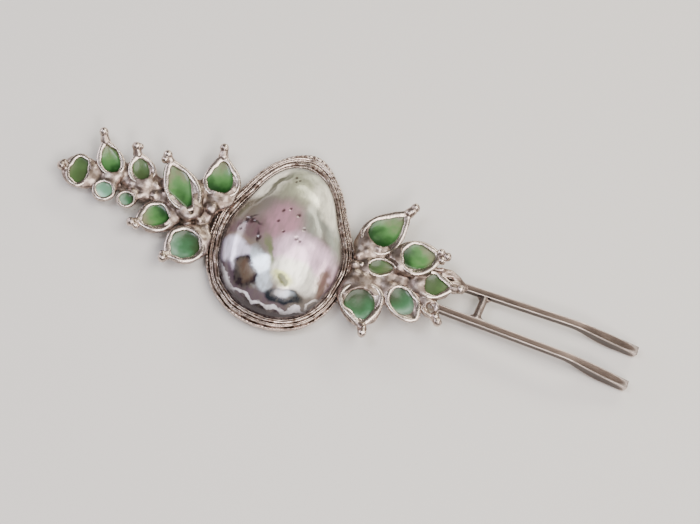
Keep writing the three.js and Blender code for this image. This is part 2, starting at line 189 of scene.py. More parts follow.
def finish_piece(bm: bmesh.types.BMesh, name: str, coat: "Finish", *nodes: str) -> bpy.types.Object:
    """Turns a mesh into a finished piece that stands for nodes of the frame.

    Args:
        bm: the piece's mesh in millimetres; it is freed.
        name: the piece's name.
        coat: the finish that it gets.
        nodes: the frame nodes that it stands for.

    Returns:
        The new object.
    """
    bmesh.ops.scale(bm, vec=(MM, MM, MM), verts=bm.verts)
    bmesh.ops.recalc_face_normals(bm, faces=bm.faces)
    for face in bm.faces:
        face.smooth = True
    mesh = to_mesh(bm, name)
    mesh.materials.append(coat.material())
    piece = add_object(name, mesh)
    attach(piece, "root")
    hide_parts(*nodes)
    LOG.info("%s: %d faces, for %s", name, len(mesh.polygons), ", ".join(nodes))
    return piece


# ---- Finishes -----------------------------------------------------------------------------------


def add_node(
    tree: bpy.types.NodeTree, kind: str, settings: dict | None = None, **inputs: object
) -> bpy.types.Node:
    """Adds a shader node.

    Args:
        tree: the material's node tree.
        kind: the node's type name.
        settings: properties to set on the node.
        inputs: sockets to link or values to set, by name, or by number as in_0.

    Returns:
        The new node.
    """
    node = tree.nodes.new(kind)
    for key, value in (settings or {}).items():
        setattr(node, key, value)
    for key, value in inputs.items():
        at = int(key[3:]) if key.startswith("in_") else key.replace("_", " ")
        if isinstance(value, bpy.types.NodeSocket):
            tree.links.new(value, node.inputs[at])
        else:
            node.inputs[at].default_value = value
    return node


def blend_colour(
    tree: bpy.types.NodeTree, share: object, under: object, over: object
) -> bpy.types.NodeSocket:
    """Mixes two colours by a share and returns the mixed colour's socket."""
    settings = {"data_type": "RGBA"}
    node = add_node(tree, "ShaderNodeMix", settings, in_0=share, in_6=under, in_7=over)
    return node.outputs[2]


def spread(tree: bpy.types.NodeTree, value: object, *ends: float) -> bpy.types.NodeSocket:
    """Maps a value smoothly from one range to another.

    Args:
        tree: the material's node tree.
        value: the socket to map.
        ends: from low, from high, to low, to high; the last two are 0 and 1 when left out.

    Returns:
        The mapped value's socket.
    """
    settings = {"interpolation_type": "SMOOTHSTEP"}
    sockets = {f"in_{at}": end for at, end in enumerate(ends, start=1)}
    return add_node(tree, "ShaderNodeMapRange", settings, in_0=value, **sockets).outputs[0]


def add_up(tree: bpy.types.NodeTree, a: object, b: object) -> bpy.types.NodeSocket:
    """Returns the socket of the sum of two values."""
    return add_node(tree, "ShaderNodeMath", {"operation": "ADD"}, in_0=a, in_1=b).outputs[0]


def set_inputs(shader: bpy.types.Node, **values: float) -> None:
    """Sets inputs of a shader by name, such as coat_weight for its Coat Weight."""
    for name, value in values.items():
        shader.inputs["IOR" if name == "ior" else name.replace("_", " ").title()].default_value = value


@dataclass
class Finish:
    """A surface finish; its material is made once and shared.

    Attributes:
        name: the material's name.
        slot: the record's material slot; not used.
    """

    name: str
    slot: str

    def material(self) -> bpy.types.Material:
        """Returns the finish's material, made at the first call."""
        made = bpy.data.materials.get(self.name)
        return made if made else self.make()

    def make(self) -> bpy.types.Material:
        """Makes the material: a principled shader that dress() then wires up."""
        material = bpy.data.materials.new(self.name)
        material.use_nodes = True
        tree = material.node_tree
        tree.nodes.clear()
        shader = add_node(tree, "ShaderNodeBsdfPrincipled")
        output = add_node(tree, "ShaderNodeOutputMaterial")
        tree.links.new(shader.outputs[0], output.inputs[0])
        self.dress(tree, shader)
        return material

    def place(self, tree: bpy.types.NodeTree) -> bpy.types.NodeSocket:
        """Returns the socket of the object's own coordinates."""
        return add_node(tree, "ShaderNodeTexCoord").outputs["Object"]

    def grain(
        self, tree: bpy.types.NodeTree, size: float, detail: float = 3, stretch: Vector | None = None
    ) -> bpy.types.NodeSocket:
        """Returns a noise value with grains of a size, drawn out by a stretch."""
        where = self.place(tree)
        if stretch:
            where = add_node(tree, "ShaderNodeMapping", Vector=where, Scale=stretch).outputs[0]
        node = add_node(tree, "ShaderNodeTexNoise", Vector=where, Scale=per_metre(size), Detail=detail)
        return node.outputs[0]

    def painted(self, tree: bpy.types.NodeTree, name: str) -> bpy.types.NodeSocket:
        """Returns the value that the mesh holds under a name."""
        return add_node(tree, "ShaderNodeAttribute", {"attribute_name": name}).outputs["Fac"]

    def relief(
        self,
        tree: bpy.types.NodeTree,
        shader: bpy.types.Node,
        height: object,
        depth: float,
        strength: float,
    ) -> None:
        """Adds relief of a depth in millimetres to the shader."""
        bump = add_node(tree, "ShaderNodeBump", Height=height, Distance=depth * MM, Strength=strength)
        tree.links.new(bump.outputs[0], shader.inputs["Normal"])

    def dress(self, tree: bpy.types.NodeTree, shader: bpy.types.Node) -> None:
        """Wires up the shader; each finish has its own way."""
        raise NotImplementedError


@dataclass
class CastSilver(Finish):
    """Sterling silver, cast and buffed: bright where the buff reached, tarnished in hollows.

    The mesh's polish value says how well the buff reached: 1 on rims and beads, 0 in corners.

    Attributes:
        bright: colour where the buff reached.
        worn: colour of the satin parts.
        tarnish: colour in hollows.
        cast_grain: size of the cast skin's grains.
        mottle: size of the tarnish's patches.
        patchy: how unevenly the tarnish lies.
        satin: roughness in hollows.
        shine: roughness where the buff reached.
    """

    name: str = "cast_sterling_silver"
    slot: str = "cast_silver"
    bright: str = "#d6c6bb"
    worn: str = "#98877d"
    tarnish: str = "#51453f"
    cast_grain: float = 0.55
    mottle: float = 1.6
    patchy: float = 0.25
    satin: float = 0.46
    shine: float = 0.27

    def dress(self, tree: bpy.types.NodeTree, shader: bpy.types.Node) -> None:
        """Wires up colour, roughness and the cast skin's relief."""
        polish = self.painted(tree, "polish")
        mottle = spread(tree, self.grain(tree, self.mottle, 5), 0.35, 0.65, -self.patchy, self.patchy)
        reach = add_up(tree, polish, mottle)
        low, high = spread(tree, reach, 0.0, 0.45), spread(tree, reach, 0.4, 0.95)
        colour = blend_colour(tree, low, linear(self.tarnish), linear(self.worn))
        colour = blend_colour(tree, high, colour, linear(self.bright))
        tree.links.new(colour, shader.inputs["Base Color"])
        tree.links.new(spread(tree, reach, 0.1, 1.0, self.satin, self.shine), shader.inputs["Roughness"])
        set_inputs(shader, metallic=1.0)
        self.relief(tree, shader, self.grain(tree, self.cast_grain), 0.1, 0.35)


@dataclass
class ForgedSilver(Finish):
    """Sterling silver wire, forged and filed along its length, then left satin.

    The mesh's polish value is 1 on edges, about a third on the faces that show and 0 on the sides, whose
    darker colour is painted shade.

    Attributes:
        bright: colour of the worn edges.
        filed: colour of the faces that show.
        side_shade_and_mark: colour of the sides, darkened as painted shade, and of the file marks.
        file_mark: width of the file marks.
    """

    name: str = "filed_sterling_silver"
    slot: str = "forged_silver"
    bright: str = "#d3c4bc"
    filed: str = "#75675f"
    side_shade_and_mark: str = "#4a403b"
    file_mark: float = 0.2

    def dress(self, tree: bpy.types.NodeTree, shader: bpy.types.Node) -> None:
        """Wires up the file marks, which run along X."""
        marks = self.grain(tree, self.file_mark, 4, Vector((0.02, 1, 1)))
        cloud = self.grain(tree, 4.0)
        polish = self.painted(tree, "polish")
        streak = spread(tree, marks, 0.35, 0.65, 0.0, 0.4)
        low, high = spread(tree, polish, 0.0, 0.35), spread(tree, polish, 0.45, 1.0)
        # the sides get the darker colour by the way they face: painted shade
        colour = blend_colour(tree, low, linear(self.side_shade_and_mark), linear(self.filed))
        colour = blend_colour(tree, high, colour, linear(self.bright))
        colour = blend_colour(tree, streak, colour, linear(self.side_shade_and_mark))
        tree.links.new(colour, shader.inputs["Base Color"])
        tree.links.new(spread(tree, cloud, 0.35, 0.65, 0.3, 0.38), shader.inputs["Roughness"])
        set_inputs(shader, metallic=1.0)
        self.relief(tree, shader, marks, 0.03, 0.3)


class EnamelHue(Enum):
    """The enamels, each as its colour at the leaf's root, in its middle and at its tip."""

    LEAF = ("#0e340c", "#538448", "#7f7c62")
    SEA = ("#2a3417", "#42704c", "#7d9c86")
    MOSS = ("#3a4a2a", "#4a653a", "#616d4c")
    MINT = ("#5f8468", "#6c9f82", "#b5dccb")
    UMBER = ("#4b3d33", "#6f6254", "#8c8075")


@dataclass
class FiredEnamel(Finish):
    """Translucent enamel fired in the silver cups: deep where it is thick, pale where it thins.

    The mesh holds how far a place lies along the leaf, and how near the enamel's edge it is.

    Attributes:
        hue: its run of colour.
        cloud: how far apart the clouds in it are.
    """

    name: str = "fired_enamel"
    slot: str = "green_enamel"
    hue: EnamelHue = EnamelHue.LEAF
    cloud: float = 3.0

    def dress(self, tree: bpy.types.NodeTree, shader: bpy.types.Node) -> None:
        """Wires up the run of colour from root to tip and the darker edge."""
        along = self.painted(tree, "along")
        cloud = spread(tree, self.grain(tree, self.cloud, 2), 0.3, 0.7, -0.12, 0.12)
        run = add_up(tree, along, cloud)
        root, middle, tip = (linear(code) for code in self.hue.value)
        colour = blend_colour(tree, spread(tree, run, 0.0, 0.7), root, middle)
        colour = blend_colour(tree, spread(tree, run, 0.48, 0.96), colour, tip)
        edge = spread(tree, self.painted(tree, "edge"), 0.72, 1.0, 0.0, 0.5)
        colour = blend_colour(tree, edge, colour, root)
        tree.links.new(colour, shader.inputs["Base Color"])
        set_inputs(shader, roughness=0.3, ior=1.4, coat_weight=0.2, coat_roughness=0.1)
        self.relief(tree, shader, self.grain(tree, 0.9, 2), 0.05, 0.25)


@dataclass(frozen=True)
class Blot:
    """A soft patch of colour on the pearl, seen from its front; patches give nacre colour, pits, painted
    highlights and reflections.

    Attributes:
        x: the patch's middle along the comb.
        y: the patch's middle across it.
        long: reach along the patch.
        wide: reach across the patch.
        turn: direction of its length, in degrees.
        colour: its colour.
        strength: how much it covers.
        soft: share of its reach over which it fades.
    """

    x: float
    y: float
    long: float
    wide: float
    turn: float
    colour: str
    strength: float = 0.9
    soft: float = 0.7


# The nacre's own pinks, greens and greys, and painted light: the near-white patches and thin white lines
# are painted highlights and reflections, and the darkest bands and the dark-ringed brown patch towards the
# foot are painted reflections.
PEARL_COLOURS_AND_REFLECTIONS = (
    Blot(-1.0, 12.0, 14.0, 10.0, 0, "#a8ab90", 0.9),
    Blot(-1.0, 17.0, 6.5, 1.9, 0, "#55574b", 0.9, 0.6),
    Blot(-14.0, 1.0, 15.0, 6.5, 78, "#6f6454", 0.9),
    Blot(6.0, 3.0, 9.0, 6.0, 70, "#90958a", 0.8),
    Blot(11.4, -1.0, 9.0, 2.6, -76, "#b6beb0", 0.8),
    Blot(-8.2, 9.6, 8.0, 4.4, 58, "#fff9e2", 1.0, 0.6),
    Blot(-7.0, 8.0, 8.0, 1.0, 62, "#4b4a38", 0.9, 0.6),
    Blot(-4.6, 11.6, 4.0, 0.8, 60, "#626650", 0.8, 0.6),
    Blot(6.2, 8.8, 9.0, 4.6, -52, "#fffce6", 1.0, 0.6),
    Blot(0.8, 14.0, 3.0, 2.0, 10, "#e2e4cb", 0.8),
    Blot(-2.0, -1.6, 8.5, 7.0, 90, "#b98a99", 0.95),
    Blot(-10.0, -5.0, 7.0, 4.6, 10, "#6f545b", 0.95),
    Blot(-10.2, -2.6, 3.4, 0.6, 38, "#2f2026", 0.9, 0.6),
    Blot(-8.2, -3.2, 2.8, 0.5, -24, "#2f2026", 0.9, 0.6),
    Blot(-6.6, -6.8, 2.8, 0.6, -72, "#3a2b30", 0.9, 0.6),
    Blot(-10.6, -8.2, 5.6, 2.0, -12, "#8c7a6e", 0.9),
    Blot(6.2, -8.4, 11.0, 8.0, 5, "#ffd9ef", 1.0, 0.5),
    Blot(4.6, -12.6, 9.0, 4.6, 0, "#fffcee", 1.0, 0.45),
    Blot(-2.8, -9.6, 6.0, 1.2, -62, "#6f7a52", 0.9),
    Blot(-10.6, -11.6, 6.4, 4.0, -34, "#efe8ff", 1.0, 0.4),
    Blot(-3.6, -14.4, 7.0, 3.0, -54, "#dbe8f5", 1.0, 0.4),
    Blot(2.4, -14.2, 3.8, 2.2, 0, "#dde37e", 0.9),
    Blot(2.4, -14.7, 1.8, 1.2, 0, "#59602a", 1.0, 0.5),
    Blot(-13.4, -16.0, 5.6, 2.6, -52, "#1f141a", 1.0, 0.4),
    Blot(-9.4, -20.4, 6.0, 2.2, -32, "#1f141a", 1.0, 0.4),
    Blot(-2.0, -22.4, 7.0, 1.8, -6, "#261a20", 1.0, 0.4),
    Blot(6.4, -21.4, 6.0, 1.6, 20, "#372b30", 1.0, 0.4),
    Blot(-9.0, -17.4, 8.0, 2.4, -42, "#54434f", 0.9, 0.5),
    Blot(0.0, -20.0, 9.0, 1.8, -4, "#66575f", 0.9, 0.5),
    Blot(-6.8, -15.6, 5.0, 2.8, -58, "#2a2026", 1.0, 0.3),
    Blot(-6.6, -15.4, 3.6, 1.7, -58, "#5f4c3f", 1.0, 0.5),
    Blot(4.0, -18.0, 5.4, 2.3, 8, "#20262e", 1.0, 0.35),
    Blot(4.6, -17.2, 3.2, 1.0, 4, "#8d9aa3", 0.9),
    Blot(-12.7, -14.6, 3.8, 0.7, -62, "#fdf8ff", 1.0, 0.4),
    Blot(-9.8, -18.2, 3.8, 0.7, -42, "#fdf8ff", 1.0, 0.4),
    Blot(-4.6, -20.5, 4.4, 0.42, -14, "#fdf8ff", 1.0, 0.4),
    Blot(1.8, -21.0, 4.4, 0.42, 2, "#fdf8ff", 1.0, 0.4),
    Blot(7.6, -19.6, 4.0, 0.42, 24, "#fdf8ff", 1.0, 0.4),
    Blot(11.0, -16.2, 3.2, 0.42, 52, "#f3ecea", 1.0, 0.4),
    Blot(11.8, -11.0, 5.6, 1.6, 84, "#6d5146", 0.95, 0.5),
)
PEARL_PITS = (
    (-3.0, 1.6, 0.42),
    (-1.5, 2.7, 0.38),
    (0.9, 1.7, 0.5),
    (-3.3, -1.5, 0.36),
    (3.2, -1.3, 0.45),
    (2.4, -4.4, 0.5),
    (3.3, -4.7, 0.4),
    (-1.2, -3.8, 0.36),
    (-9.2, -3.0, 0.6),
    (-10.6, -2.6, 0.4),
    (-6.3, -7.0, 0.55),
    (-11.4, -5.4, 0.35),
    (-2.9, 12.2, 0.35),
    (-1.9, 11.6, 0.3),
    (-2.6, 10.9, 0.3),
)


@dataclass
class Nacre(Finish):
    """Mother-of-pearl grown in a dome and polished: a glossy skin over drifting colours and painted
    highlights and reflections.

    Attributes:
        ground: its colour between the patches.
        shadow: colour of the dome's foot, where the setting shades it.
        vein: colour of the fine streaks.
        pit: colour of the pits.
        streak: width of the streaks.
    """

    name: str = "polished_nacre"
    slot: str = "nacre"
    ground: str = "#7f766f"
    shadow: str = "#20141b"
    vein: str = "#767064"
    pit: str = "#3a2728"
    streak: float = 1.1

    def patch(
        self, tree: bpy.types.NodeTree, where: object, colour: object, blot: Blot
    ) -> bpy.types.NodeSocket:
        """Lays one patch over a colour and returns the new colour's socket."""
        mapping = add_node(
            tree,
            "ShaderNodeMapping",
            {"vector_type": "TEXTURE"},
            Vector=where,
            Location=(blot.x * MM, blot.y * MM, 0),
            Rotation=(0, 0, math.radians(blot.turn)),
            Scale=(blot.long * MM, blot.wide * MM, 1),
        )
        settings = {"gradient_type": "SPHERICAL"}
        ball = add_node(tree, "ShaderNodeTexGradient", settings, Vector=mapping.outputs[0])
        share = spread(tree, ball.outputs["Fac"], 0.0, blot.soft, 0.0, blot.strength)
        return blend_colour(tree, share, colour, linear(blot.colour))

    def drift(self, tree: bpy.types.NodeTree, size: float, reach: float) -> bpy.types.NodeSocket:
        """Returns the object's coordinates, wandering by the reach, so that patches look grown."""
        where = self.place(tree)
        wander = add_node(tree, "ShaderNodeTexNoise", Vector=where, Scale=per_metre(size), Detail=5.0)
        centred = add_node(
            tree,
            "ShaderNodeVectorMath",
            {"operation": "SUBTRACT"},
            in_0=wander.outputs["Color"],
            in_1=(0.5, 0.5, 0.5),
        )
        moved = add_node(
            tree,
            "ShaderNodeVectorMath",
            {"operation": "MULTIPLY_ADD"},
            in_0=centred.outputs[0],
            in_1=(reach * MM, reach * MM, 0),
            in_2=where,
        )
        return moved.outputs[0]

    def dress(self, tree: bpy.types.NodeTree, shader: bpy.types.Node) -> None:
        """Wires up the colour patches with their painted highlights and reflections, the pits and the
        painted shade at the dome's foot.
        """
        where = self.drift(tree, 4.0, 4.0)
        colour = linear(self.ground)
        # painted highlights and reflections are laid on here among the patches of nacre colour
        for blot in PEARL_COLOURS_AND_REFLECTIONS:
            colour = self.patch(tree, where, colour, blot)
        lines = self.grain(tree, self.streak, 4, Vector((1, 0.25, 1)))
        streaks = spread(tree, lines, 0.38, 0.68, 0.0, 0.34)
        colour = blend_colour(tree, streaks, colour, linear(self.vein))
        near = self.drift(tree, 0.8, 0.5)
        for x, y, radius in PEARL_PITS:
            pit = Blot(x, y, radius * 1.9, radius * 1.3, 60, self.pit, 0.85)
            colour = self.patch(tree, near, colour, pit)
        foot = spread(tree, self.painted(tree, "reach"), 0.9, 0.98, 0.0, 0.92)
        colour = blend_colour(tree, foot, colour, linear(self.shadow))
        tree.links.new(colour, shader.inputs["Base Color"])
        set_inputs(shader, metallic=0.25, roughness=0.22, coat_weight=0.45, coat_roughness=0.06)
        self.relief(tree, shader, self.grain(tree, 2.5, 2), 0.05, 0.3)


@dataclass
class CastResin(Finish):
    """Clear casting resin that has yellowed a little inside the pearl.

    Attributes:
        deep: colour of its clouds.
        pale: colour between them.
    """

    name: str = "casting_resin"
    slot: str = "pearl_cement"
    deep: str = "#cfc4a8"
    pale: str = "#e2dac6"

    def dress(self, tree: bpy.types.NodeTree, shader: bpy.types.Node) -> None:
        """Wires up a cloudy cream colour."""
        colour = blend_colour(tree, self.grain(tree, 3.0), linear(self.deep), linear(self.pale))
        tree.links.new(colour, shader.inputs["Base Color"])
        set_inputs(shader, roughness=0.6)


@dataclass
class SawnShell(Finish):
    """Mother-of-pearl sawn flat, with its growth layers showing as bands.

    Attributes:
        deep: colour of the bands.
        pale: colour between them.
    """

    name: str = "sawn_mother_of_pearl"
    slot: str = "mother_of_pearl"
    deep: str = "#d3cfc2"
    pale: str = "#f1eee6"

    def dress(self, tree: bpy.types.NodeTree, shader: bpy.types.Node) -> None:
        """Wires up the growth bands."""
        bands = self.grain(tree, 1.5, 3, Vector((0.3, 1, 1)))
        colour = blend_colour(tree, bands, linear(self.deep), linear(self.pale))
        tree.links.new(colour, shader.inputs["Base Color"])
        set_inputs(shader, roughness=0.35)


# ---- Mesh makers --------------------------------------------------------------------------------


class Rings:
    """A mesh grown ring by ring: each ring is extruded from the last and then put in its place."""

    def __init__(self, segments: int, *values: str) -> None:
        """Starts with one ring of points.

        Args:
            segments: how many points each ring has.
            values: names of the numbers that the mesh holds at each point.
        """
        self.bm = bmesh.new()
        self.values = {name: self.bm.verts.layers.float.new(name) for name in values}
        made = bmesh.ops.create_circle(self.bm, segments=segments, radius=1.0)
        self.ring = list(made["verts"])
        self.edges = list(self.bm.edges)
        self.placed = False

    def add(self, places: list[Vector], **values: float) -> None:
        """Grows the next ring.

        Args:
            places: one place for each point of the ring.
            values: what the mesh holds on this ring, one number or one for each point.
        """
        if self.placed:
            made = bmesh.ops.extrude_edge_only(self.bm, edges=self.edges)["geom"]
            fresh = {part for part in made if isinstance(part, bmesh.types.BMVert)}
            self.ring = [self.grown_from(vert, fresh) for vert in self.ring]
            self.edges = [
                part
                for part in made
                if isinstance(part, bmesh.types.BMEdge) and all(vert in fresh for vert in part.verts)
            ]
        self.placed = True
        for index, (vert, place) in enumerate(zip(self.ring, places)):
            vert.co = place
            for name, value in values.items():
                vert[self.values[name]] = value[index] if isinstance(value, list) else value

    @staticmethod
    def grown_from(vert: bmesh.types.BMVert, fresh: set) -> bmesh.types.BMVert:
        """Returns the new point that was extruded from a point."""
        return next(edge.other_vert(vert) for edge in vert.link_edges if edge.other_vert(vert) in fresh)

    def close(self) -> bmesh.types.BMesh:
        """Joins points that lie together, at poles or where the last ring meets the first."""
        bmesh.ops.remove_doubles(self.bm, verts=self.bm.verts, dist=1e-4)
        return self.bm


class MeltedSilver:
    """Silver drops and strands that have run together into one skin."""

    def __init__(self, grain: float) -> None:
        """Starts empty, with the size in millimetres of the finest shape to keep."""
        self.bm = bmesh.new()
        self.grain = grain

    def drop(self, place: Vector, radius: float) -> None:
        """Adds a round drop."""
        middle = Matrix.Translation(place)
        bmesh.ops.create_icosphere(self.bm, subdivisions=2, radius=radius, matrix=middle)

    def pad(self, place: Vector, radius: float, height: float) -> None:
        """Adds a drop that has spread out flat, by its radius and its height above the middle."""
        flat = Matrix.Translation(place) @ Matrix.Diagonal((1, 1, height / radius, 1))
        bmesh.ops.create_icosphere(self.bm, subdivisions=3, radius=radius, matrix=flat)

    def strand(self, points: list[Vector], start: float, end: float) -> None:
        """Adds a strand along points, with its radius running from start to end.

        Args:
            points: the corners of its path.
            start: radius at the first point.
            end: radius at the last one.
        """
        lengths = [(b - a).length for a, b in zip(points, points[1:])]
        whole = sum(lengths)
        passed = 0.0
        for (a, b), length in zip(zip(points, points[1:]), lengths):
            steps = max(1, round(length / (0.45 * min(start, end))))
            for step in range(steps + 1):
                share = (passed + length * step / steps) / whole
                self.drop(a.lerp(b, step / steps), mix(start, end, share))
            passed += length

    def solid(self, frame: dict, node: str) -> None:
        """Adds a copy of a frame node's shape."""
        copy = bmesh.new()
        copy.from_mesh(frame["nodes"][node].data)
        bmesh.ops.remove_doubles(copy, verts=copy.verts, dist=1e-6)
        bmesh.ops.scale(copy, vec=(1 / MM, 1 / MM, 1 / MM), verts=copy.verts)
        pour(copy, self.bm)

    def fuse(self, melt: int, swell: float, depth: float) -> bmesh.types.BMesh:
        """Runs everything together into one skin.

        Args:
            melt: how many times the skin is smoothed.
            swell: how far apart the skin's small swells are.
            depth: how far they wander.

        Returns:
            The skin, with its polish painted on.
        """
        mesh = to_mesh(self.bm, "melt")
        lump = add_object("melt", mesh)
        remesh = lump.modifiers.new("skin", "REMESH")
        remesh.mode = "VOXEL"
        remesh.voxel_size = self.grain
        skinned = lump.evaluated_get(bpy.context.evaluated_depsgraph_get())
        fused = bpy.data.meshes.new_from_object(skinned)
        bpy.data.objects.remove(lump)
        bpy.data.meshes.remove(mesh)
        skin = bmesh.new()
        skin.from_mesh(fused)
        bpy.data.meshes.remove(fused)
        axes = {"use_axis_x": True, "use_axis_y": True, "use_axis_z": True}
        for _ in range(melt):
            bmesh.ops.smooth_vert(skin, verts=skin.verts, factor=0.5, **axes)
        for vert in skin.verts:
            vert.co += hand_made(vert.co, swell, depth)
        paint_polish(skin)
        return skin


def paint_polish(bm: bmesh.types.BMesh, rounds: int = 3) -> None:
    """Paints polish on a skin: high where it stands out, low where it dips.

    Args:
        bm: the skin.
        rounds: how many times the value is evened out with its neighbours.
    """
    layer = bm.verts.layers.float.get("polish") or bm.verts.layers.float.new("polish")
    bm.normal_update()
    for vert in bm.verts:
        around = [edge.other_vert(vert) for edge in vert.link_edges]
        middle = sum((other.co for other in around), Vector()) / len(around)
        reach = sum(edge.calc_length() for edge in vert.link_edges) / len(around)
        vert[layer] = min(1.0, max(0.0, 0.6 + 5.0 * (vert.co - middle).dot(vert.normal) / reach))
    for _ in range(rounds):
        evened = []
        for vert in bm.verts:
            around = sum(edge.other_vert(vert)[layer] for edge in vert.link_edges)
            evened.append((vert[layer] + around) / (1 + len(vert.link_edges)))
        for vert, value in zip(bm.verts, evened):
            vert[layer] = value


# ---- Setting and pearl --------------------------------------------------------------------------


class PearOutline:
    """The pear-shaped outline of the setting, read back from the frame."""

    WAVES = 6
    LEVEL = 0.02  # how far apart two heights may be and count as one, in millimetres
    PEAK = 0.9  # how far the point of the pear is drawn out, in millimetres
    PEAK_AT = 88  # where it lies, in degrees
    PEAK_WIDTH = 11  # how wide it is, in degrees

    def __init__(self, frame: dict) -> None:
        """Reads the border's widest ring and the pearl's foot.

        Args:
            frame: the loaded frame.
        """
        border = distinct(node_points(frame, "bezel_border"))
        levels = sorted({round(point.z, 2) for point in border})
        ring = [point for point in border if abs(point.z - levels[1]) < self.LEVEL]
        self.centre = sum(ring, Vector()) / len(ring)
        self.foot = levels[0]
        polar = []
        for point in ring:
            angle = math.atan2(point.y - self.centre.y, point.x - self.centre.x)
            polar.append((angle, (point - self.centre).to_2d().length))
        self.mean = sum(radius for _, radius in polar) / len(polar)
        self.waves = [
            (
                count,
                2 * sum(radius * math.cos(count * angle) for angle, radius in polar) / len(polar),
                2 * sum(radius * math.sin(count * angle) for angle, radius in polar) / len(polar),
            )
            for count in range(1, self.WAVES)
        ]
        pearl = distinct(node_points(frame, "pearl"))
        self.pearl_foot = min(point.z for point in pearl)
        self.pearl_top = max(point.z for point in pearl)
        seat = [point for point in pearl if point.z < self.pearl_foot + self.LEVEL]
        self.seat_centre = sum(seat, Vector()) / len(seat)
        side = max(point.x for point in seat) - self.seat_centre.x
        self.seat = self.radius(0.0) - side

    def radius(self, angle: float) -> float:
        """Returns the outline's radius at an angle."""
        swings = (c * math.cos(k * angle) + s * math.sin(k * angle) for k, c, s in self.waves)
        return self.mean + sum(swings)

    def peak(self, angle: float) -> float:
        """Returns how far the border is drawn out into the point of the pear at an angle."""
        off = (angle - math.radians(self.PEAK_AT)) / math.radians(self.PEAK_WIDTH)
        return self.PEAK * math.exp(-off * off)

    def point(self, angle: float, inset: float, height: float, share: float = 1.0) -> Vector:
        """Returns the place at an angle, an inset within the outline, and a height."""
        shift = (self.seat_centre - self.centre) * (min(inset, self.seat) / self.seat)
        reach = (self.radius(angle) - inset) * share
        x = self.centre.x + shift.x + reach * math.cos(angle)
        y = self.centre.y + shift.y + reach * math.sin(angle)
        return Vector((x, y, height))


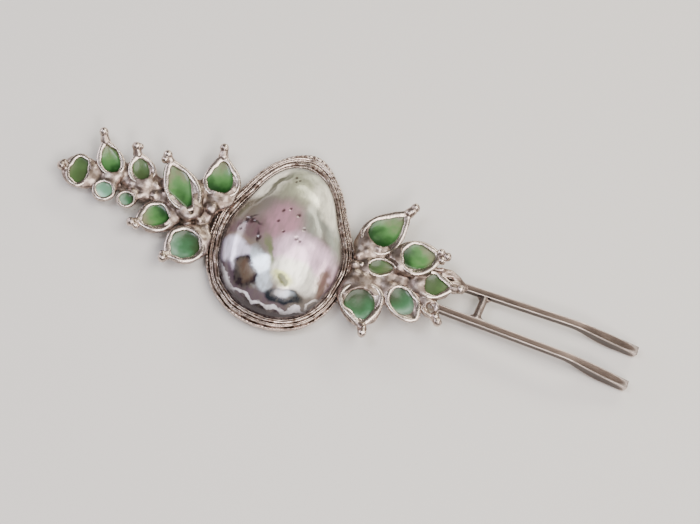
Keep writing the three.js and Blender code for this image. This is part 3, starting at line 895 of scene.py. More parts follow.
@dataclass
class Setting:
    """The closed bezel: back plate, ribbed border, two wires on it, and the wall round the pearl.

    Profiles hold the inset, the height above the foot and the polish of each corner.

    Attributes:
        outline: the pear outline.
        beads: how many beads run round the border's outer edge.
        bead_depth: how far they stand out.
        rib_depth: how far the ribs across the border's slope stand out.
        rib_lean: how far they lean, in radians for each millimetre of inset.
        drawn: the inset up to which the point of the pear is drawn out.
        segments: how many points each ring has, eight to a bead.
        border: profile of the border.
        wires: inset, height and radius of each wire.
        wall: profile of the wall and its lip.
        plate: profile of the back plate's edge; its height is that of the frame.
    """

    outline: PearOutline
    beads: int = 136
    bead_depth: float = 0.055
    rib_depth: float = 0.05
    rib_lean: float = 6.0
    drawn: float = 2.6
    segments: int = 1088
    border: tuple = (
        (0.30, 0.00, 0.3),
        (0.08, 0.08, 0.4),
        (0.00, 0.30, 0.9),
        (0.02, 0.52, 1.0),
        (0.14, 0.76, 1.0),
        (0.32, 0.86, 0.9),
        (0.48, 0.80, 0.5),
        (0.56, 0.68, 0.1),
        (0.66, 0.74, 0.3),
        (0.86, 0.98, 0.5),
        (1.06, 1.22, 0.45),
        (1.22, 1.36, 0.3),
        (1.40, 1.40, 0.1),
        (1.46, 1.20, 0.0),
        (1.46, 0.00, 0.0),
    )
    wires: tuple = ((0.98, 1.62, 0.24), (1.40, 1.76, 0.22))
    wall: tuple = (
        (1.70, 0.00, 0.0),
        (1.70, 1.70, 0.1),
        (1.74, 2.10, 0.3),
        (1.86, 2.36, 0.7),
        (2.06, 2.44, 0.9),
        (2.30, 2.40, 0.6),
        (2.52, 2.30, 0.25),
        (2.70, 2.34, 0.6),
        (2.86, 2.36, 1.0),
        (3.00, 2.24, 0.8),
        (3.06, 1.90, 0.1),
        (2.70, 1.20, 0.0),
        (2.70, 0.00, 0.0),
    )
    plate: tuple = (
        (0.80, 0.00, 0.6),
        (0.52, 0.05, 1.0),
        (0.40, 0.20, 0.9),
        (0.40, 1.05, 0.3),
        (0.60, 1.22, 0.1),
    )

    def swept(self, profile: tuple, ribs: bool = False) -> bmesh.types.BMesh:
        """Sweeps a closed profile round the outline.

        Args:
            profile: the profile, without its first corner again at the end.
            ribs: whether it is beaded along its edge and ribbed across its slope.

        Returns:
            The swept mesh.
        """
        rings = Rings(self.segments, "polish")
        foot = self.outline.foot
        for inset, height, polish in (*profile, profile[0]):
            places = []
            for angle in turns_of(self.segments):
                bulge = self.rib(angle, inset, height) if ribs else 0.0
                drawn = self.outline.peak(angle) * max(0.0, 1 - inset / self.drawn)
                place = self.outline.point(angle, inset - bulge * 0.6 - drawn, foot + height + bulge)
                places.append(place + hand_made(place, *HAND_WANDER) + hand_made(place, *TOOL_WANDER))
            rings.add(places, polish=polish)
        return rings.close()

    def rib(self, angle: float, inset: float, height: float) -> float:
        """Returns how far the beading or ribbing stands out at a place on the border."""
        if height < 0.2:
            return 0.0
        if inset < 0.5:
            return self.bead_depth * math.cos(self.beads * angle)
        if 0.6 < inset < 1.3:
            return self.rib_depth * math.cos(2 * self.beads * angle + inset * self.rib_lean)
        return 0.0

    def add_border(self, silver: CastSilver) -> None:
        """Adds the border."""
        finish_piece(self.swept(self.border, ribs=True), "bezel_border_beaded", silver, "bezel_border")

    def add_wires(self, silver: CastSilver) -> None:
        """Adds the pair of thin wires that lies on the border."""
        sides = [(math.cos(turn), math.sin(turn)) for turn in turns_of(8)]
        whole = bmesh.new()
        whole.verts.layers.float.new("polish")
        for inset, height, radius in self.wires:
            profile = [(inset + radius * x, height + radius * y, 0.5 + 0.5 * y) for x, y in sides]
            pour(self.swept(tuple(profile)), whole)
        finish_piece(whole, "lip_wires_soldered", silver, "lip_wire")

    def add_wall(self, silver: CastSilver) -> None:
        """Adds the wall with its lip pressed onto the pearl."""
        finish_piece(self.swept(self.wall), "bezel_wall_pressed", silver, "bezel_wall")

    def add_plate(self, silver: CastSilver) -> None:
        """Adds the back plate, sawn from sheet and filed round its edge."""
        rings = Rings(self.segments // 4, "polish")
        angles = turns_of(self.segments)[::4]
        rings.add([self.outline.point(0.0, 0.0, 0.0, 0.0)] * len(angles), polish=0.4)
        for share in (0.3, 0.6, 0.9):
            rings.add([self.outline.point(a, 0.8, 0.0, share) for a in angles], polish=0.4)
        for inset, height, polish in self.plate:
            rings.add([self.outline.point(a, inset, height) for a in angles], polish=polish)
        rings.add([self.outline.point(0.0, 0.0, self.plate[-1][1], 0.0)] * len(angles), polish=0.1)
        finish_piece(rings.close(), "back_plate_filed", silver, "back_plate")

    def build(self, silver: CastSilver) -> None:
        """Builds the whole setting."""
        self.add_plate(silver)
        self.add_border(silver)
        self.add_wires(silver)
        self.add_wall(silver)


@dataclass
class BlisterPearl:
    """The pearl: a dome of nacre with pits, a long crease and soft swells.

    Attributes:
        outline: the pear outline.
        segments: points round the dome.
        steps: rings from foot to top.
        crease_from: where the crease starts, seen from the front.
        crease_to: where it ends.
        crease_depth: how deep it is.
        crease_width: how wide it is.
        swell_size: how far apart the dome's swells are.
        swell_depth: how far it sinks between them.
    """

    outline: PearOutline
    segments: int = 320
    steps: int = 80
    crease_from: Vector = field(default_factory=lambda: Vector((-10.4, 1.6)))
    crease_to: Vector = field(default_factory=lambda: Vector((-4.6, 13.2)))
    crease_depth: float = 0.22
    crease_width: float = 0.5
    swell_size: float = 9.0
    swell_depth: float = 0.45

    def sink(self, place: Vector) -> float:
        """Returns how far the skin sinks at a place seen from the front."""
        flat = place.to_2d()
        run = self.crease_to - self.crease_from
        share = min(1.0, max(0.0, (flat - self.crease_from).dot(run) / run.length_squared))
        off = (flat - self.crease_from - run * share).length
        depth = self.crease_depth * math.exp(-((off / self.crease_width) ** 2))
        depth *= math.sin(math.pi * share) ** 0.5
        for x, y, radius in PEARL_PITS:
            away = (flat - Vector((x, y))).length_squared / (radius * radius)
            if away < 9:
                depth += 0.35 * radius * math.exp(-away)
        return depth

    def add_dome(self, nacre: Nacre) -> None:
        """Adds the nacre dome."""
        foot = self.outline.pearl_foot
        rise = self.outline.pearl_top - foot
        rings = Rings(self.segments, "reach")
        seat = self.outline.seat
        rings.add([self.outline.point(0.0, seat, foot, 0.0)] * self.segments, reach=1.0)
        for step in range(self.steps + 1):
            lean = math.pi / 2 * step / self.steps
            share, up = math.cos(lean), math.sin(lean)
            places = []
            for angle in turns_of(self.segments):
                place = self.outline.point(angle, seat, foot + rise * up, share)
                swell = noise.noise(place / self.swell_size)
                swell += 0.25 * noise.noise(place / (0.4 * self.swell_size))
                swell *= self.swell_depth * up
                place.z += min(0.0, swell - 0.5 * self.swell_depth * up) - self.sink(place)
                places.append(place)
            rings.add(places, reach=share)
        finish_piece(rings.close(), "pearl_dome", nacre, "pearl")


# ---- Leaves -------------------------------------------------------------------------------------


@dataclass(frozen=True)
class Leaf:
    """One enamelled leaf: a silver cup, the enamel fired in it and the bead melted on its tip.

    Attributes:
        name: the leaf's name in the frame.
        heading: direction from root to tip, in degrees.
        point: how sharply the cup narrows to its tip, from 0 for a round one to 1.
        pool: where the enamel lies: from and to along the leaf, then its reach to the right and left.
        pool_root: how sharply the enamel narrows to the root.
        hue: its enamel.
        bead: the bead's radius, or 0 where there is none.
        knobs: further drops at the tip: along and across from the bead's middle, and radius.
    """

    name: str
    heading: float
    point: float
    pool: tuple[float, float, float, float]
    pool_root: float = 0.0
    hue: EnamelHue = EnamelHue.LEAF
    bead: float = 1.2
    knobs: tuple[tuple[float, float, float], ...] = ()


LEFT_LEAVES = (
    Leaf("left_leaf_1", 106, 1.0, (1.4, 11.2, 2.6, 3.8)),
    Leaf("left_leaf_2", -126, 0.3, (0.8, 9.0, 3.6, 3.4), 0, EnamelHue.SEA, knobs=((-0.6, -0.9, 0.9),)),
    Leaf("left_leaf_3", 128, 0.5, (-0.6, 13.7, 2.4, 3.5), 1.7, knobs=((-0.9, 1.1, 1.1),)),
    Leaf("left_leaf_4", -145, 0.5, (0.8, 8.8, 3.3, 2.1), knobs=((-0.8, 1.2, 0.9),)),
    Leaf("left_leaf_5", 124, 0.7, (1.0, 7.9, 1.8, 2.2), 0, EnamelHue.MOSS, knobs=((-0.2, -0.9, 0.9),)),
    Leaf("left_leaf_6", -114, 0.0, (0.0, 4.0, 1.8, 1.8), 0, EnamelHue.SEA, bead=0),
    Leaf("left_leaf_7", 114, 0.9, (0.8, 8.5, 2.2, 2.5)),
    Leaf("left_leaf_8", -104, 0.2, (0.5, 5.0, 2.2, 2.0), 0, EnamelHue.MINT, bead=0),
    Leaf("left_leaf_9", -174, 0.0, (0.8, 6.0, 3.8, 3.6), 0, EnamelHue.MOSS, knobs=((-0.5, -0.9, 1.0),)),
)
RIGHT_LEAVES = (
    Leaf("right_leaf_1", 60, 1.0, (2.4, 13.0, 3.0, 3.8), knobs=((-1.0, -0.3, 1.0),)),
    Leaf("right_leaf_2", -70, 0.9, (2.0, 12.0, 4.0, 3.2), 0, EnamelHue.SEA, knobs=((-1.1, 0.2, 1.1),)),
    Leaf("right_leaf_3", 18, 0.5, (0.6, 6.6, 1.4, 2.0), 0, EnamelHue.MOSS, bead=0),
    Leaf("right_leaf_4", 24, 0.4, (0.6, 9.6, 2.6, 3.8), knobs=((-1.2, 1.1, 1.15), (-1.4, -1.0, 1.1))),
    Leaf("right_leaf_5", -37, 0.2, (0.5, 8.2, 3.1, 2.7), 0, EnamelHue.SEA, bead=0),
    Leaf("right_leaf_6", 10, 0.9, (1.7, 8.2, 3.1, 2.8), 0, EnamelHue.MOSS),
    Leaf("right_leaf_7", -47, 0.6, (0.8, 3.6, 0.8, 0.9), 0, EnamelHue.UMBER, knobs=((-1.4, 0.2, 1.1),)),
)


class LeafPlace:
    """Where a leaf lies in the frame, and how its own coordinates turn into places."""

    RIM_ROUND = 0.15

    def __init__(self, frame: dict, leaf: Leaf) -> None:
        """Reads the leaf's root, tip and width back from its cup.

        Args:
            frame: the loaded frame.
            leaf: the leaf.
        """
        turn = math.radians(leaf.heading)
        self.along = Vector((math.cos(turn), math.sin(turn), 0))
        self.across = Vector((-math.sin(turn), math.cos(turn), 0))
        points = node_points(frame, f"{leaf.name}_cup")
        root = min(points, key=lambda point: point.dot(self.along))
        tip = max(points, key=lambda point: point.dot(self.along))
        self.root = root + Vector((0, 0, self.RIM_ROUND))
        self.length = (tip - root).dot(self.along)
        self.sway = (tip - root).dot(self.across)
        self.curl = tip.z - root.z
        self.depth = root.z + self.RIM_ROUND - min(point.z for point in points)
        self.half = max(abs(self.to_own(point).y) for point in points)

    def to_own(self, point: Vector) -> Vector:
        """Turns a place into the leaf's own coordinates: along, across and above the rim."""
        off = point - self.root
        x = off.dot(self.along)
        bend = (x / self.length) ** 2
        return Vector((x, off.dot(self.across) - self.sway * bend, off.z - self.curl * bend))

    def to_place(self, own: Vector) -> Vector:
        """Turns the leaf's own coordinates into a place, with the wander of handwork."""
        bend = (own.x / self.length) ** 2
        side = own.y + self.sway * bend
        place = self.root + self.along * own.x + self.across * side
        place.z += own.z + self.curl * bend
        return place + hand_made(place, *HAND_WANDER)


@dataclass
class LeafMaker:
    """Builds one leaf's pieces.

    Attributes:
        leaf: the leaf.
        place: where it lies.
        segments: points round the cup.
        rim: greatest width of the rim.
        pool_level: how far the enamel's edge lies below the rim.
        dish: how far its middle lies below its edge.
        floor: thickness of the cup's floor.
        skirt_reach: how far the silver cast round the cup's foot reaches beyond it.
        skirt_height: how high that silver stands above the cup's middle.
        overrun: share of the cup's length, from its root, over which the stem may lie.
        clear: how far the stem stays clear of the enamel and of the inside of the rim.
    """

    CUP_OUTSIDE = (
        (0.6, -1.0, 0.4),
        (0.36, -0.92, 0.45),
        (0.18, -0.72, 0.5),
        (0.07, -0.48, 0.55),
        (0.0, -0.2, 0.7),
    )  # inset as a share of half the width, level as a share of the depth, and polish
    CUP_RIM = (
        (-0.1, -0.35, 0.8),
        (-0.03, -0.1, 1.0),
        (0.28, 0.08, 1.0),
        (0.65, 0.05, 1.0),
        (0.9, -0.06, 0.9),
        (1.0, -0.16, 0.75),
    )  # inset as a share of the rim's width, level and polish
    CUP_INSIDE = ((0.25, 0.7), (0.5, 0.75), (0.75, 0.7), (0.92, 0.6), (1.05, 0.4))  # share, polish
    SKIRT_SHARES = (0.1, 0.3, 0.5)

    leaf: Leaf
    place: LeafPlace
    segments: int = 64
    rim: float = 1.15
    pool_level: float = 0.55
    dish: float = 0.35
    floor: float = 0.5
    skirt_reach: float = 0.8
    skirt_height: float = 1.5
    overrun: float = 0.3
    clear: float = 0.3

    @staticmethod
    def bow(turn: float, tip: float, root: float) -> float:
        """Returns the sideways reach of a leaf shape at an angle, before it is brought to size."""
        return math.sin(turn) * abs(math.cos(turn / 2)) ** tip * abs(math.sin(turn / 2)) ** root

    @staticmethod
    @lru_cache(maxsize=None)
    def crest(tip: float, root: float) -> float:
        """Returns the largest sideways reach of a leaf shape."""
        return max(LeafMaker.bow(math.radians(degree), tip, root) for degree in range(180))

    def outline(self, turn: float, inset: float) -> Vector:
        """Returns the point of the cup's outline at an angle, an inset within it."""
        long = self.place.length - inset * (2 + self.leaf.point)
        half = self.place.half - inset
        x = inset + long * (1 - math.cos(turn)) / 2
        y = half * self.bow(turn, self.leaf.point, 0) / self.crest(self.leaf.point, 0)
        return Vector((x, y, 0))

    def pool(self, turn: float, share: float = 1.0) -> Vector:
        """Returns the point of the enamel's outline at an angle, shrunk to a share about its middle."""
        start, end, right, left = self.leaf.pool
        reach = left if math.sin(turn) > 0 else right
        sharp = self.leaf.point * 0.9
        y = reach * self.bow(turn, sharp, self.leaf.pool_root) / self.crest(sharp, self.leaf.pool_root)
        x = mix(start, end, (1 - math.cos(turn)) / 2)
        middle = Vector(((start + end) / 2, (left - right) / 2, 0))
        return middle + (Vector((x, y, 0)) - middle) * share

    def ring(self, flat: list[Vector], level: float) -> list[Vector]:
        """Puts a flat ring of the leaf's own coordinates in its place at a level below the rim."""
        return [self.place.to_place(Vector((point.x, point.y, level))) for point in flat]

    def rim_width(self, turn: float) -> float:
        """Returns the rim's width at an angle; it swells and thins as hand-laid wire does."""
        swell = noise.noise(self.place.to_place(self.outline(turn, 0.0)) / 2.4)
        return min(self.rim, self.place.half * 0.28) * (1 + 0.45 * swell)

    def covers(self, own: Vector) -> bool:
        """Tells whether the enamel or the open part of the cup lies over a place."""
        start, end = self.leaf.pool[:2]
        if self.between(own, self.pool, start, end, self.clear):
            return True
        if own.x < self.place.length * self.overrun:
            return False
        far = self.place.length - self.clear * (1 + self.leaf.point)
        return self.between(own, lambda turn: self.outline(turn, self.clear), self.clear, far, 0.0)

    @staticmethod
    def between(
        own: Vector, shape: Callable[[float], Vector], start: float, end: float, margin: float
    ) -> bool:
        """Tells whether a place lies between the two sides of a shape.

        Args:
            own: the place, in the leaf's own coordinates.
            shape: gives the shape's point at an angle round it.
            start: where the shape starts along the leaf.
            end: where it ends.
            margin: how far beyond its sides a place may lie.
        """
        share = (own.x - start) / (end - start)
        if not 0 < share < 1:
            return False
        turn = math.acos(1 - 2 * share)
        return shape(-turn).y - margin < own.y < shape(turn).y + margin

    def add_skirt(self, melt: MeltedSilver) -> None:
        """Adds the silver that runs from the stem round the cup's foot."""
        for share in self.SKIRT_SHARES:
            wide = self.outline(math.acos(1 - 2 * share), 0.0).y + self.skirt_reach * (1 - 2 * share)
            middle = Vector((self.place.length * share, 0, -self.place.depth / 2))
            melt.pad(self.place.to_place(middle), wide, self.skirt_height)

    def press(self, skin: bmesh.types.BMesh) -> None:
        """Presses a skin down wherever it would come up inside this leaf."""
        ceiling = -self.pool_level - self.dish - self.clear
        for vert in skin.verts:
            own = self.place.to_own(vert.co)
            if own.z > ceiling and self.covers(own):
                vert.co.z -= own.z - ceiling

    def add_cup(self, silver: CastSilver) -> None:
        """Adds the cup: an outer bowl, a rounded rim and an inner wall that runs down to the enamel."""
        depth = self.place.depth
        half = self.place.half
        rings = Rings(self.segments, "polish")
        turns = turns_of(self.segments)
        hub = self.outline(math.pi / 2, half * 0.9)
        rings.add(self.ring([Vector((hub.x, 0, 0))] * self.segments, -depth), polish=0.4)
        for share, level, polish in self.CUP_OUTSIDE:
            flat = [self.outline(t, half * share) for t in turns]
            rings.add(self.ring(flat, depth * level), polish=polish)
        widths = [self.rim_width(turn) for turn in turns]
        for share, level, polish in self.CUP_RIM:
            flat = [self.outline(t, width * share) for t, width in zip(turns, widths)]
            rings.add(self.ring(flat, level), polish=polish)
        for share, polish in self.CUP_INSIDE:
            flat = [self.outline(t, width).lerp(self.pool(t), share) for t, width in zip(turns, widths)]
            level = mix(-0.2, -self.pool_level, ease(share))
            rings.add(self.ring(flat, level), polish=polish)
        for share in (0.7, 0.0):
            rings.add(self.ring([self.pool(t, share) for t in turns], self.floor - depth), polish=0.0)
        finish_piece(rings.close(), f"{self.leaf.name}_cup_cast", silver, f"{self.leaf.name}_cup")

    def add_enamel(self, enamel: FiredEnamel) -> None:
        """Adds the enamel: a shallow dished pool with its edge drawn up the wall."""
        rings = Rings(self.segments, "along", "edge")
        start, end = self.leaf.pool[:2]
        bottom = self.floor - self.place.depth + 0.05
        brim = -self.pool_level
        shape = (
            (0.0, bottom),
            (0.6, bottom),
            (0.95, brim - 0.2),
            (1.03, brim + 0.05),
            (0.98, brim + 0.02),
            (0.9, brim - 0.1),
            (0.75, brim - 0.18),
            (0.5, brim - 0.26),
            (0.25, brim - self.dish),
            (0.0, brim - self.dish),
        )
        for share, level in shape:
            flat = [self.pool(t, share) for t in turns_of(self.segments)]
            along = [(point.x - start) / (end - start) for point in flat]
            rings.add(self.ring(flat, level), along=along, edge=min(1.0, share))
        finish_piece(rings.close(), f"{self.leaf.name}_enamel_fired", enamel, f"{self.leaf.name}_enamel")

    def add_bead(self, silver: CastSilver) -> None:
        """Adds the bead, melted from the cup's drawn-out tip."""
        melt = MeltedSilver(0.11)
        radius = self.leaf.bead
        point = self.leaf.point
        middle = Vector((self.place.length + radius, 0, -0.15))
        neck = Vector((self.place.length - 0.8 * point, 0, -0.8))
        paths = [((neck, middle), 1.0 + 0.35 * point, radius * 0.75)]
        wide = 0.3 + 0.65 * point
        for side in (-1, 1):
            flank = [self.outline(math.pi + side * turn, 0.5) for turn in (wide, wide / 2)]
            sunk = [corner + Vector((0, 0, -0.5)) for corner in flank]
            paths.append(((*sunk, middle), 0.5, radius * 0.65))
        for path, start, end in paths:
            melt.strand([self.place.to_place(corner) for corner in path], start, end)
        melt.drop(self.place.to_place(middle), radius)
        for x, y, size in self.leaf.knobs:
            melt.drop(self.place.to_place(middle + Vector((x, y, -0.1))), size)
        skin = melt.fuse(melt=4, swell=1.4, depth=0.1)
        finish_piece(skin, f"{self.leaf.name}_bead_melted", silver, f"{self.leaf.name}_bead")

    def build(self, silver: CastSilver) -> None:
        """Builds the cup, the enamel and the bead."""
        hue = self.leaf.hue
        self.add_cup(silver)
        self.add_enamel(FiredEnamel(name=f"{hue.name.lower()}_green_enamel", hue=hue))
        if self.leaf.bead > 0:
            self.add_bead(silver)


@dataclass
class Branch:
    """One branch: the fused silver stem, its granules and its leaves.

    Attributes:
        side: "left" or "right".
        leaves: its leaves.
        lumps: drops run onto the stem: x, y, height and radius.
        pads: drops spread flat between the cups: x, y, height, radius and thickness above the middle.
        strands: drawn ridges: their points, first radius and last radius.
        granules: how many separate granules it carries.
    """

    side: str
    leaves: tuple[Leaf, ...]
    lumps: tuple[tuple[float, float, float, float], ...]
    pads: tuple[tuple[float, float, float, float, float], ...]
    strands: tuple[tuple[tuple[tuple[float, float, float], ...], float, float], ...]
    granules: int

    def add_stem(self, frame: dict, makers: list[LeafMaker], silver: CastSilver) -> None:
        """Adds the stem with everything that has been fused to it.

        Args:
            frame: the loaded frame.
            makers: the makers of the leaves that it carries and stays clear of.
            silver: its finish.
        """
        melt = MeltedSilver(0.2)
        melt.solid(frame, f"{self.side}_stem")
        for x, y, z, radius in self.lumps:
            melt.drop(Vector((x, y, z)), radius)
        for x, y, z, radius, height in self.pads:
            melt.pad(Vector((x, y, z)), radius, height)
        for points, start, end in self.strands:
            melt.strand([Vector(point) for point in points], start, end)
        for maker in makers:
            maker.add_skirt(melt)
        skin = melt.fuse(melt=16, swell=2.2, depth=0.25)
        for maker in makers:
            maker.press(skin)
        finish_piece(skin, f"{self.side}_stem_fused", silver, f"{self.side}_stem")

    def add_granules(self, silver: CastSilver) -> None:
        """Adds the granules, each sunk a little into the stem."""
        for number in range(1, self.granules + 1):
            node = f"{self.side}_granule_{number}"
            low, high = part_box(node)
            middle = (low + high) / 2 / MM
            radius = (high.x - low.x) / 2 / MM
            melt = MeltedSilver(0.12)
            melt.drop(middle, radius * 1.04)
            melt.drop(middle - Vector((0, 0, radius * 0.6)), radius * 0.9)
            finish_piece(melt.fuse(melt=2, swell=0.9, depth=0.1), f"{node}_fused", silver, node)

    def build(self, frame: dict, silver: CastSilver, satin: CastSilver) -> None:
        """Builds the whole branch.

        Args:
            frame: the loaded frame.
            silver: the finish of cups, beads and granules.
            satin: the finish of the stem.
        """
        makers = [LeafMaker(leaf, LeafPlace(frame, leaf)) for leaf in self.leaves]
        self.add_stem(frame, makers, satin)
        self.add_granules(silver)
        for maker in makers:
            maker.build(silver)


LEFT_PADS = (
    (-20.6, 0.6, 3.0, 3.0, 1.7),
    (-21.8, -3.0, 2.8, 3.2, 1.6),
    (-24.8, 2.2, 3.4, 3.2, 1.7),
    (-24.8, -4.6, 2.7, 2.6, 1.6),
    (-28.2, -2.6, 3.0, 3.0, 1.6),
    (-31.0, 1.4, 3.1, 3.2, 1.7),
    (-32.0, -2.4, 2.9, 2.8, 1.7),
    (-35.2, -0.4, 3.0, 3.0, 1.7),
    (-36.6, -2.8, 2.8, 2.4, 1.6),
    (-38.4, 1.2, 3.0, 2.8, 1.7),
    (-40.6, -1.0, 2.9, 2.6, 1.6),
    (-43.4, 0.6, 2.9, 2.6, 1.6),
    (-45.4, -1.2, 2.8, 2.4, 1.5),
    (-48.4, -0.6, 2.8, 2.4, 1.5),
    (-50.0, -2.4, 2.7, 2.2, 1.5),
)
LEFT_LUMPS = (
    (-20.0, -1.0, 3.4, 2.1),
    (-20.4, 3.2, 4.0, 1.5),
    (-22.8, 0.8, 3.4, 1.5),
    (-21.6, -5.0, 3.5, 1.3),
    (-19.5, -6.2, 3.4, 1.2),
    (-24.4, -6.0, 3.4, 1.2),
    (-27.4, -4.6, 3.8, 1.3),
    (-28.2, -1.3, 4.5, 1.4),
    (-29.8, -5.2, 3.4, 1.1),
    (-31.2, -2.0, 3.6, 1.6),
    (-34.0, -2.8, 3.6, 1.3),
    (-34.6, -0.2, 3.7, 1.3),
    (-37.0, -1.6, 3.7, 1.2),
    (-37.3, -4.2, 3.5, 1.1),
    (-36.3, 1.4, 3.8, 1.1),
    (-40.4, -1.8, 3.6, 1.3),
    (-42.4, 0.6, 3.7, 1.1),
    (-44.2, -2.6, 3.6, 1.2),
    (-46.4, -1.4, 3.5, 1.1),
    (-50.2, -1.4, 3.6, 1.3),
    (-51.0, -3.8, 3.5, 1.0),
)
RIGHT_PADS = (
    (19.4, 1.6, 2.9, 3.0, 1.6),
    (20.0, -2.4, 2.8, 3.2, 1.6),
    (19.6, -6.0, 2.7, 2.6, 1.5),
    (22.6, 3.2, 3.0, 2.6, 1.6),
    (23.4, -3.6, 3.1, 3.0, 1.5),
    (26.4, -2.8, 3.2, 3.2, 1.5),
    (29.6, -2.2, 3.4, 3.2, 1.4),
    (32.8, -1.6, 3.5, 3.0, 1.3),
    (35.8, -1.6, 3.5, 2.4, 1.3),
    (27.0, 3.4, 3.2, 2.4, 1.5),
    (30.4, -5.2, 2.9, 2.6, 1.5),
    (36.8, -4.8, 3.1, 2.6, 1.4),
)
RIGHT_LUMPS = (
    (17.6, -2.0, 3.4, 1.4),
    (18.6, -4.2, 3.5, 1.5),
    (17.8, 0.9, 3.5, 1.3),
    (19.2, 2.6, 3.8, 1.3),
    (19.4, -6.6, 3.5, 1.4),
    (22.0, 4.0, 3.9, 1.3),
    (25.4, 4.0, 4.0, 1.1),
    (27.4, 1.2, 3.8, 1.1),
    (38.4, -6.4, 3.6, 1.2),
    (37.0, -3.2, 4.0, 1.2),
)
RIGHT_STRANDS = (
    (
        ((20.2, -2.6, 3.9), (24.6, -1.6, 4.3), (29.0, 0.0, 4.9), (33.6, 1.8, 5.3), (38.4, 4.2, 5.4)),
        0.55,
        0.6,
    ),
    (((21.0, -3.4, 3.7), (26.0, -2.3, 4.0), (31.0, -0.5, 4.3), (36.2, 1.9, 4.6)), 0.4, 0.4),
    (((38.0, 4.2, 4.9), (40.6, 4.7, 4.6), (43.0, 4.1, 4.0), (45.2, 2.9, 2.8)), 0.6, 0.7),
    (((38.6, 3.2, 4.8), (41.0, 3.6, 4.6), (43.4, 2.9, 3.9), (45.4, 2.5, 2.7)), 0.5, 0.6),
    (((40.6, 1.8, 4.7), (42.6, 2.2, 4.3), (44.4, 1.9, 3.4)), 0.5, 0.6),
)


# ---- Fork ---------------------------------------------------------------------------------------


@dataclass
class Fork:
    """The two prongs and the crossbar between them.

    Attributes:
        edge_round: how far the wire's edges are rounded.
        burnish: how far the wear of the edges reaches onto the flats.
        hollow: how far the flats are filed down within it.
        straight: length from which an edge counts as part of the long straight.
        cuts: how often the long straight is divided, so that the bend stays where it is.
        sharp: turn between faces, in degrees, from which an edge is rounded.
        solder: the crossbar's radius with its skin of solder, as a share of its own.
        overrun: how far the crossbar's solder runs into the prongs.
        fillet: how far it runs along them.
    """

    edge_round: float = 0.18
    burnish: float = 0.1
    hollow: float = 0.04
    straight: float = 20
    cuts: int = 10
    sharp: float = 50
    solder: float = 1.25
    overrun: float = 0.35
    fillet: float = 1.3

    def prong(self, frame: dict, node: str) -> bmesh.types.BMesh:
        """Returns a prong with rounded edges, made from a copy of its frame node."""
        bm = bmesh.new()
        bm.from_mesh(frame["nodes"][node].data)
        bmesh.ops.scale(bm, vec=(1 / MM, 1 / MM, 1 / MM), verts=bm.verts)
        bmesh.ops.remove_doubles(bm, verts=bm.verts, dist=1e-3)
        bmesh.ops.dissolve_limit(bm, angle_limit=math.radians(1.0), verts=bm.verts, edges=bm.edges)
        bmesh.ops.join_triangles(
            bm,
            faces=bm.faces,
            angle_face_threshold=math.radians(20),
            angle_shape_threshold=math.radians(60),
        )
        long_edges = [edge for edge in bm.edges if edge.calc_length() > self.straight]
        bmesh.ops.subdivide_edges(bm, edges=long_edges, cuts=self.cuts, use_grid_fill=True)
        bm.normal_update()
        sharp = [edge for edge in bm.edges if edge.calc_face_angle(0.0) > math.radians(self.sharp)]
        rounded = bmesh.ops.bevel(
            bm, geom=sharp, offset=self.edge_round, segments=3, profile=0.5, affect="EDGES", material=-1
        )["faces"]
        worn = set(rounded)
        flats = [face for face in bm.faces if face not in worn]
        bmesh.ops.inset_region(
            bm, faces=flats, thickness=self.burnish, depth=-self.hollow, use_even_offset=True
        )
        layer = bm.verts.layers.float.new("polish")
        for vert in bm.verts:
            vert[layer] = 1.0
        # faces turned towards +Y or -Y get 0, which paints them darker as painted shade; the faces that
        # show get a third
        for face in flats:
            for vert in face.verts:
                vert[layer] = 0.0 if abs(face.normal.y) > 0.7 else 0.35
        return bm

    def add_prong(self, frame: dict, node: str, silver: ForgedSilver) -> None:
        """Adds one prong."""
        piece = finish_piece(self.prong(frame, node), f"{node}_filed", silver, node)
        smooth = piece.modifiers.new("drawn", "SUBSURF")
        smooth.levels = smooth.render_levels = 2

    def add_crossbar(self, frame: dict, silver: ForgedSilver) -> None:
        """Adds the crossbar with the solder that runs out onto the prongs."""
        points = sorted(node_points(frame, "crossbar"), key=lambda point: point.y)
        third = len(points) // 3
        ends = [sum(part, Vector()) / third for part in (points[:third], points[-third:])]
        low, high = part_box("crossbar")
        radius = (high.z - low.z) / 2 / MM * self.solder
        reach = (ends[1] - ends[0]).normalized() * self.overrun
        melt = MeltedSilver(0.12)
        melt.strand([ends[0] - reach, ends[1] + reach], radius, radius)
        for end in (ends[0] - reach * 0.3, ends[1] + reach * 0.3):
            for way in (-1, 1):
                foot = end + Vector((way * self.fillet, 0, -0.15))
                melt.strand([end, foot], radius, radius * 0.45)
        skin = melt.fuse(melt=8, swell=1.2, depth=0.05)
        finish_piece(skin, "crossbar_soldered", silver, "crossbar")

    def build(self, frame: dict, silver: ForgedSilver) -> None:
        """Builds the fork."""
        for node in ("upper_prong", "lower_prong"):
            self.add_prong(frame, node, silver)
        self.add_crossbar(frame, silver)


# ---- Studio -------------------------------------------------------------------------------------


@dataclass(frozen=True)
class SoftBox:
    """A soft studio light.

    Attributes:
        name: its name.
        azimuth: direction it stands in, in degrees; 0 is in front, towards -Y, and 90 towards +X.
        elevation: how high it stands, in degrees.
        size: its width and height in metres.
        power: its power in watts.
        tint: its colour.
        distance: how far it stands from the comb, in metres.
    """

    name: str
    azimuth: float
    elevation: float
    size: tuple[float, float]
    power: float
    tint: str = "#ffffff"
    distance: float = 0.6


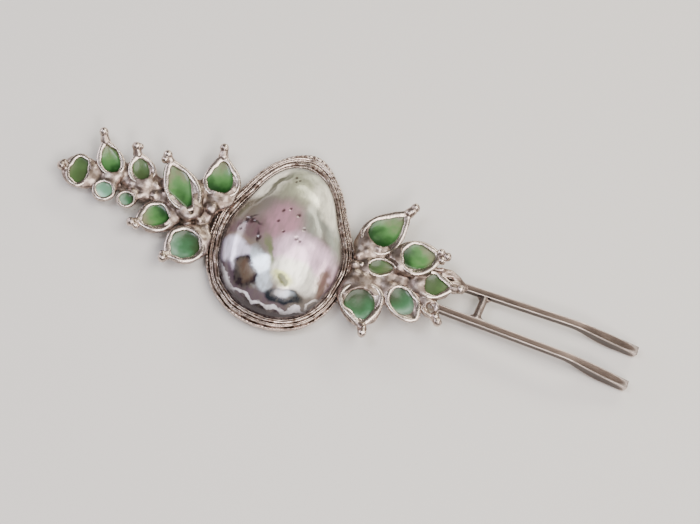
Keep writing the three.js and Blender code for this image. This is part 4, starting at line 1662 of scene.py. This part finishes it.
SOFT_BOXES = (
    SoftBox("overhead_softbox", 82, 68, (0.56, 0.42), 4.3, "#fffaf4"),
    SoftBox("front_left_softbox", -64, 66, (0.16, 0.22), 1.3, "#f1f4ff"),
    SoftBox("front_softbox", 24, 48, (0.2, 0.16), 1.5, "#fff4f6"),
    SoftBox("left_softbox", -94, 20, (0.5, 0.16), 1.6, "#f6f2ff"),
    SoftBox("back_softbox", 165, 30, (0.5, 0.14), 1.6, "#fffbe9"),
    SoftBox("right_softbox", 95, 18, (0.3, 0.14), 0.7, "#fff1e6"),
)


@dataclass
class Studio:
    """The pale table, the lights and the camera.

    Attributes:
        elevation: the camera's height above the comb, in degrees.
        slope: how far the comb runs down to the right in the picture, in degrees.
        distance: from camera to target, in metres.
        lens: focal length in millimetres.
        sensor: width of the camera's sensor in millimetres.
        aim_x: where along the comb it looks, in metres.
        aim_y: where across the comb it looks.
        floor_size: the table's side, in metres.
        contact_left: where along the comb the stem's end touches the table.
        card: the table's colour.
        room: colour of the room's even light.
        room_light: its strength.
    """

    elevation: float = 67.0
    slope: float = 20.0
    distance: float = 0.7
    lens: float = 146.5
    sensor: float = 36.0
    aim_x: float = 0.01634
    aim_y: float = -0.00007
    floor_size: float = 6.0
    contact_left: float = -0.050
    card: str = "#dcd9d4"
    room: str = "#b9b5b2"
    room_light: float = 0.16

    @property
    def aim(self) -> Vector:
        """Returns the place that the camera and the lights look at."""
        return Vector((self.aim_x, self.aim_y, 0))

    def add_floor(self, low: Vector, high: Vector) -> None:
        """Adds the table, tipped so that the comb rests on its stem's end and its prong tips.

        Args:
            low: the comb's lowest corner.
            high: its highest corner.
        """
        bm = bmesh.new()
        bmesh.ops.create_grid(bm, x_segments=2, y_segments=2, size=self.floor_size / 2)
        tip = Vector((high.x - 0.0005, 0, low.z))
        left = Vector((self.contact_left, 0, 0.0))
        tilt = math.atan2(left.z - tip.z, tip.x - left.x)
        clear = Matrix.Translation(left + Vector((0, 0, -0.0002)))
        bmesh.ops.transform(bm, matrix=clear @ Matrix.Rotation(tilt, 4, "Y"), verts=bm.verts)
        table = add_object("table_top", to_mesh(bm, "table_top"))
        material = bpy.data.materials.new("pale_card")
        material.use_nodes = True
        shader = material.node_tree.nodes["Principled BSDF"]
        shader.inputs["Base Color"].default_value = linear(self.card)
        set_inputs(shader, roughness=0.8)
        table.data.materials.append(material)
        table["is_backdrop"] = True

    def add_lights(self) -> None:
        """Adds the soft boxes and the even light of the room."""
        for box in SOFT_BOXES:
            light = bpy.data.lights.new(box.name, "AREA")
            light.shape = "ELLIPSE"
            light.size, light.size_y = box.size
            light.energy = box.power
            light.color = linear(box.tint)[:3]
            lamp = add_object(box.name, light)
            turn, rise = math.radians(box.azimuth), math.radians(box.elevation)
            flat = math.cos(rise)
            out = Vector((math.sin(turn) * flat, -math.cos(turn) * flat, math.sin(rise)))
            lamp.location = self.aim + out * box.distance
            lamp.rotation_mode = "QUATERNION"
            lamp.rotation_quaternion = (-out).to_track_quat("-Z", "Y")
        world = bpy.data.worlds.new("studio_room")
        world.use_nodes = True
        background = world.node_tree.nodes["Background"]
        background.inputs["Color"].default_value = linear(self.room)
        background.inputs["Strength"].default_value = self.room_light
        bpy.context.scene.world = world

    def add_camera(self) -> None:
        """Adds the camera."""
        rise, slope = math.radians(self.elevation), math.radians(self.slope)
        back = Vector((0, -math.cos(rise), math.sin(rise)))
        level = Vector((1, 0, 0))
        upright = back.cross(level)
        right = level * math.cos(slope) + upright * math.sin(slope)
        up = upright * math.cos(slope) - level * math.sin(slope)
        eye = self.aim + back * self.distance
        data = bpy.data.cameras.new("camera")
        data.lens = self.lens
        data.sensor_width = self.sensor
        data.clip_start = 0.05
        camera = add_object("camera", data)
        camera.matrix_world = Matrix(
            (
                (right.x, up.x, back.x, eye.x),
                (right.y, up.y, back.y, eye.y),
                (right.z, up.z, back.z, eye.z),
                (0, 0, 0, 1),
            )
        )
        bpy.context.scene.camera = camera

    def build(self, low: Vector, high: Vector) -> None:
        """Builds the studio round a comb of the given box."""
        self.add_camera()
        self.add_floor(low, high)
        self.add_lights()


def dress_hidden(frame: dict) -> None:
    """Gives the parts inside the pearl their materials."""
    for name, coat in (("pearl_filler", CastResin()), ("pearl_backing", SawnShell())):
        node = frame["nodes"][name]
        node.data.materials.clear()
        node.data.materials.append(coat.material())


def main() -> None:
    """Builds the comb around its frame and sets up the studio."""
    logging.basicConfig(level=logging.INFO, format="%(name)s: %(message)s")
    noise.seed_set(WANDER_SEED)
    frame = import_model()
    cad_low, cad_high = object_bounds()
    Studio().build(cad_low, cad_high)

    cast = CastSilver()
    satin = CastSilver(
        "satin_sterling_silver", bright="#b3a299", worn="#796a61", tarnish="#473c36", shine=0.36
    )
    buffed = CastSilver(
        "buffed_sterling_silver", bright="#cebcb2", worn="#79675f", tarnish="#30251c", patchy=0.4
    )
    forged = ForgedSilver()
    outline = PearOutline(frame)
    Setting(outline).build(buffed)
    BlisterPearl(outline).add_dome(Nacre())
    dress_hidden(frame)
    Branch("left", LEFT_LEAVES, LEFT_LUMPS, LEFT_PADS, (), 3).build(frame, cast, satin)
    Branch("right", RIGHT_LEAVES, RIGHT_LUMPS, RIGHT_PADS, RIGHT_STRANDS, 1).build(frame, cast, satin)
    Fork().build(frame, forged)


if __name__ == "__main__":
    main()
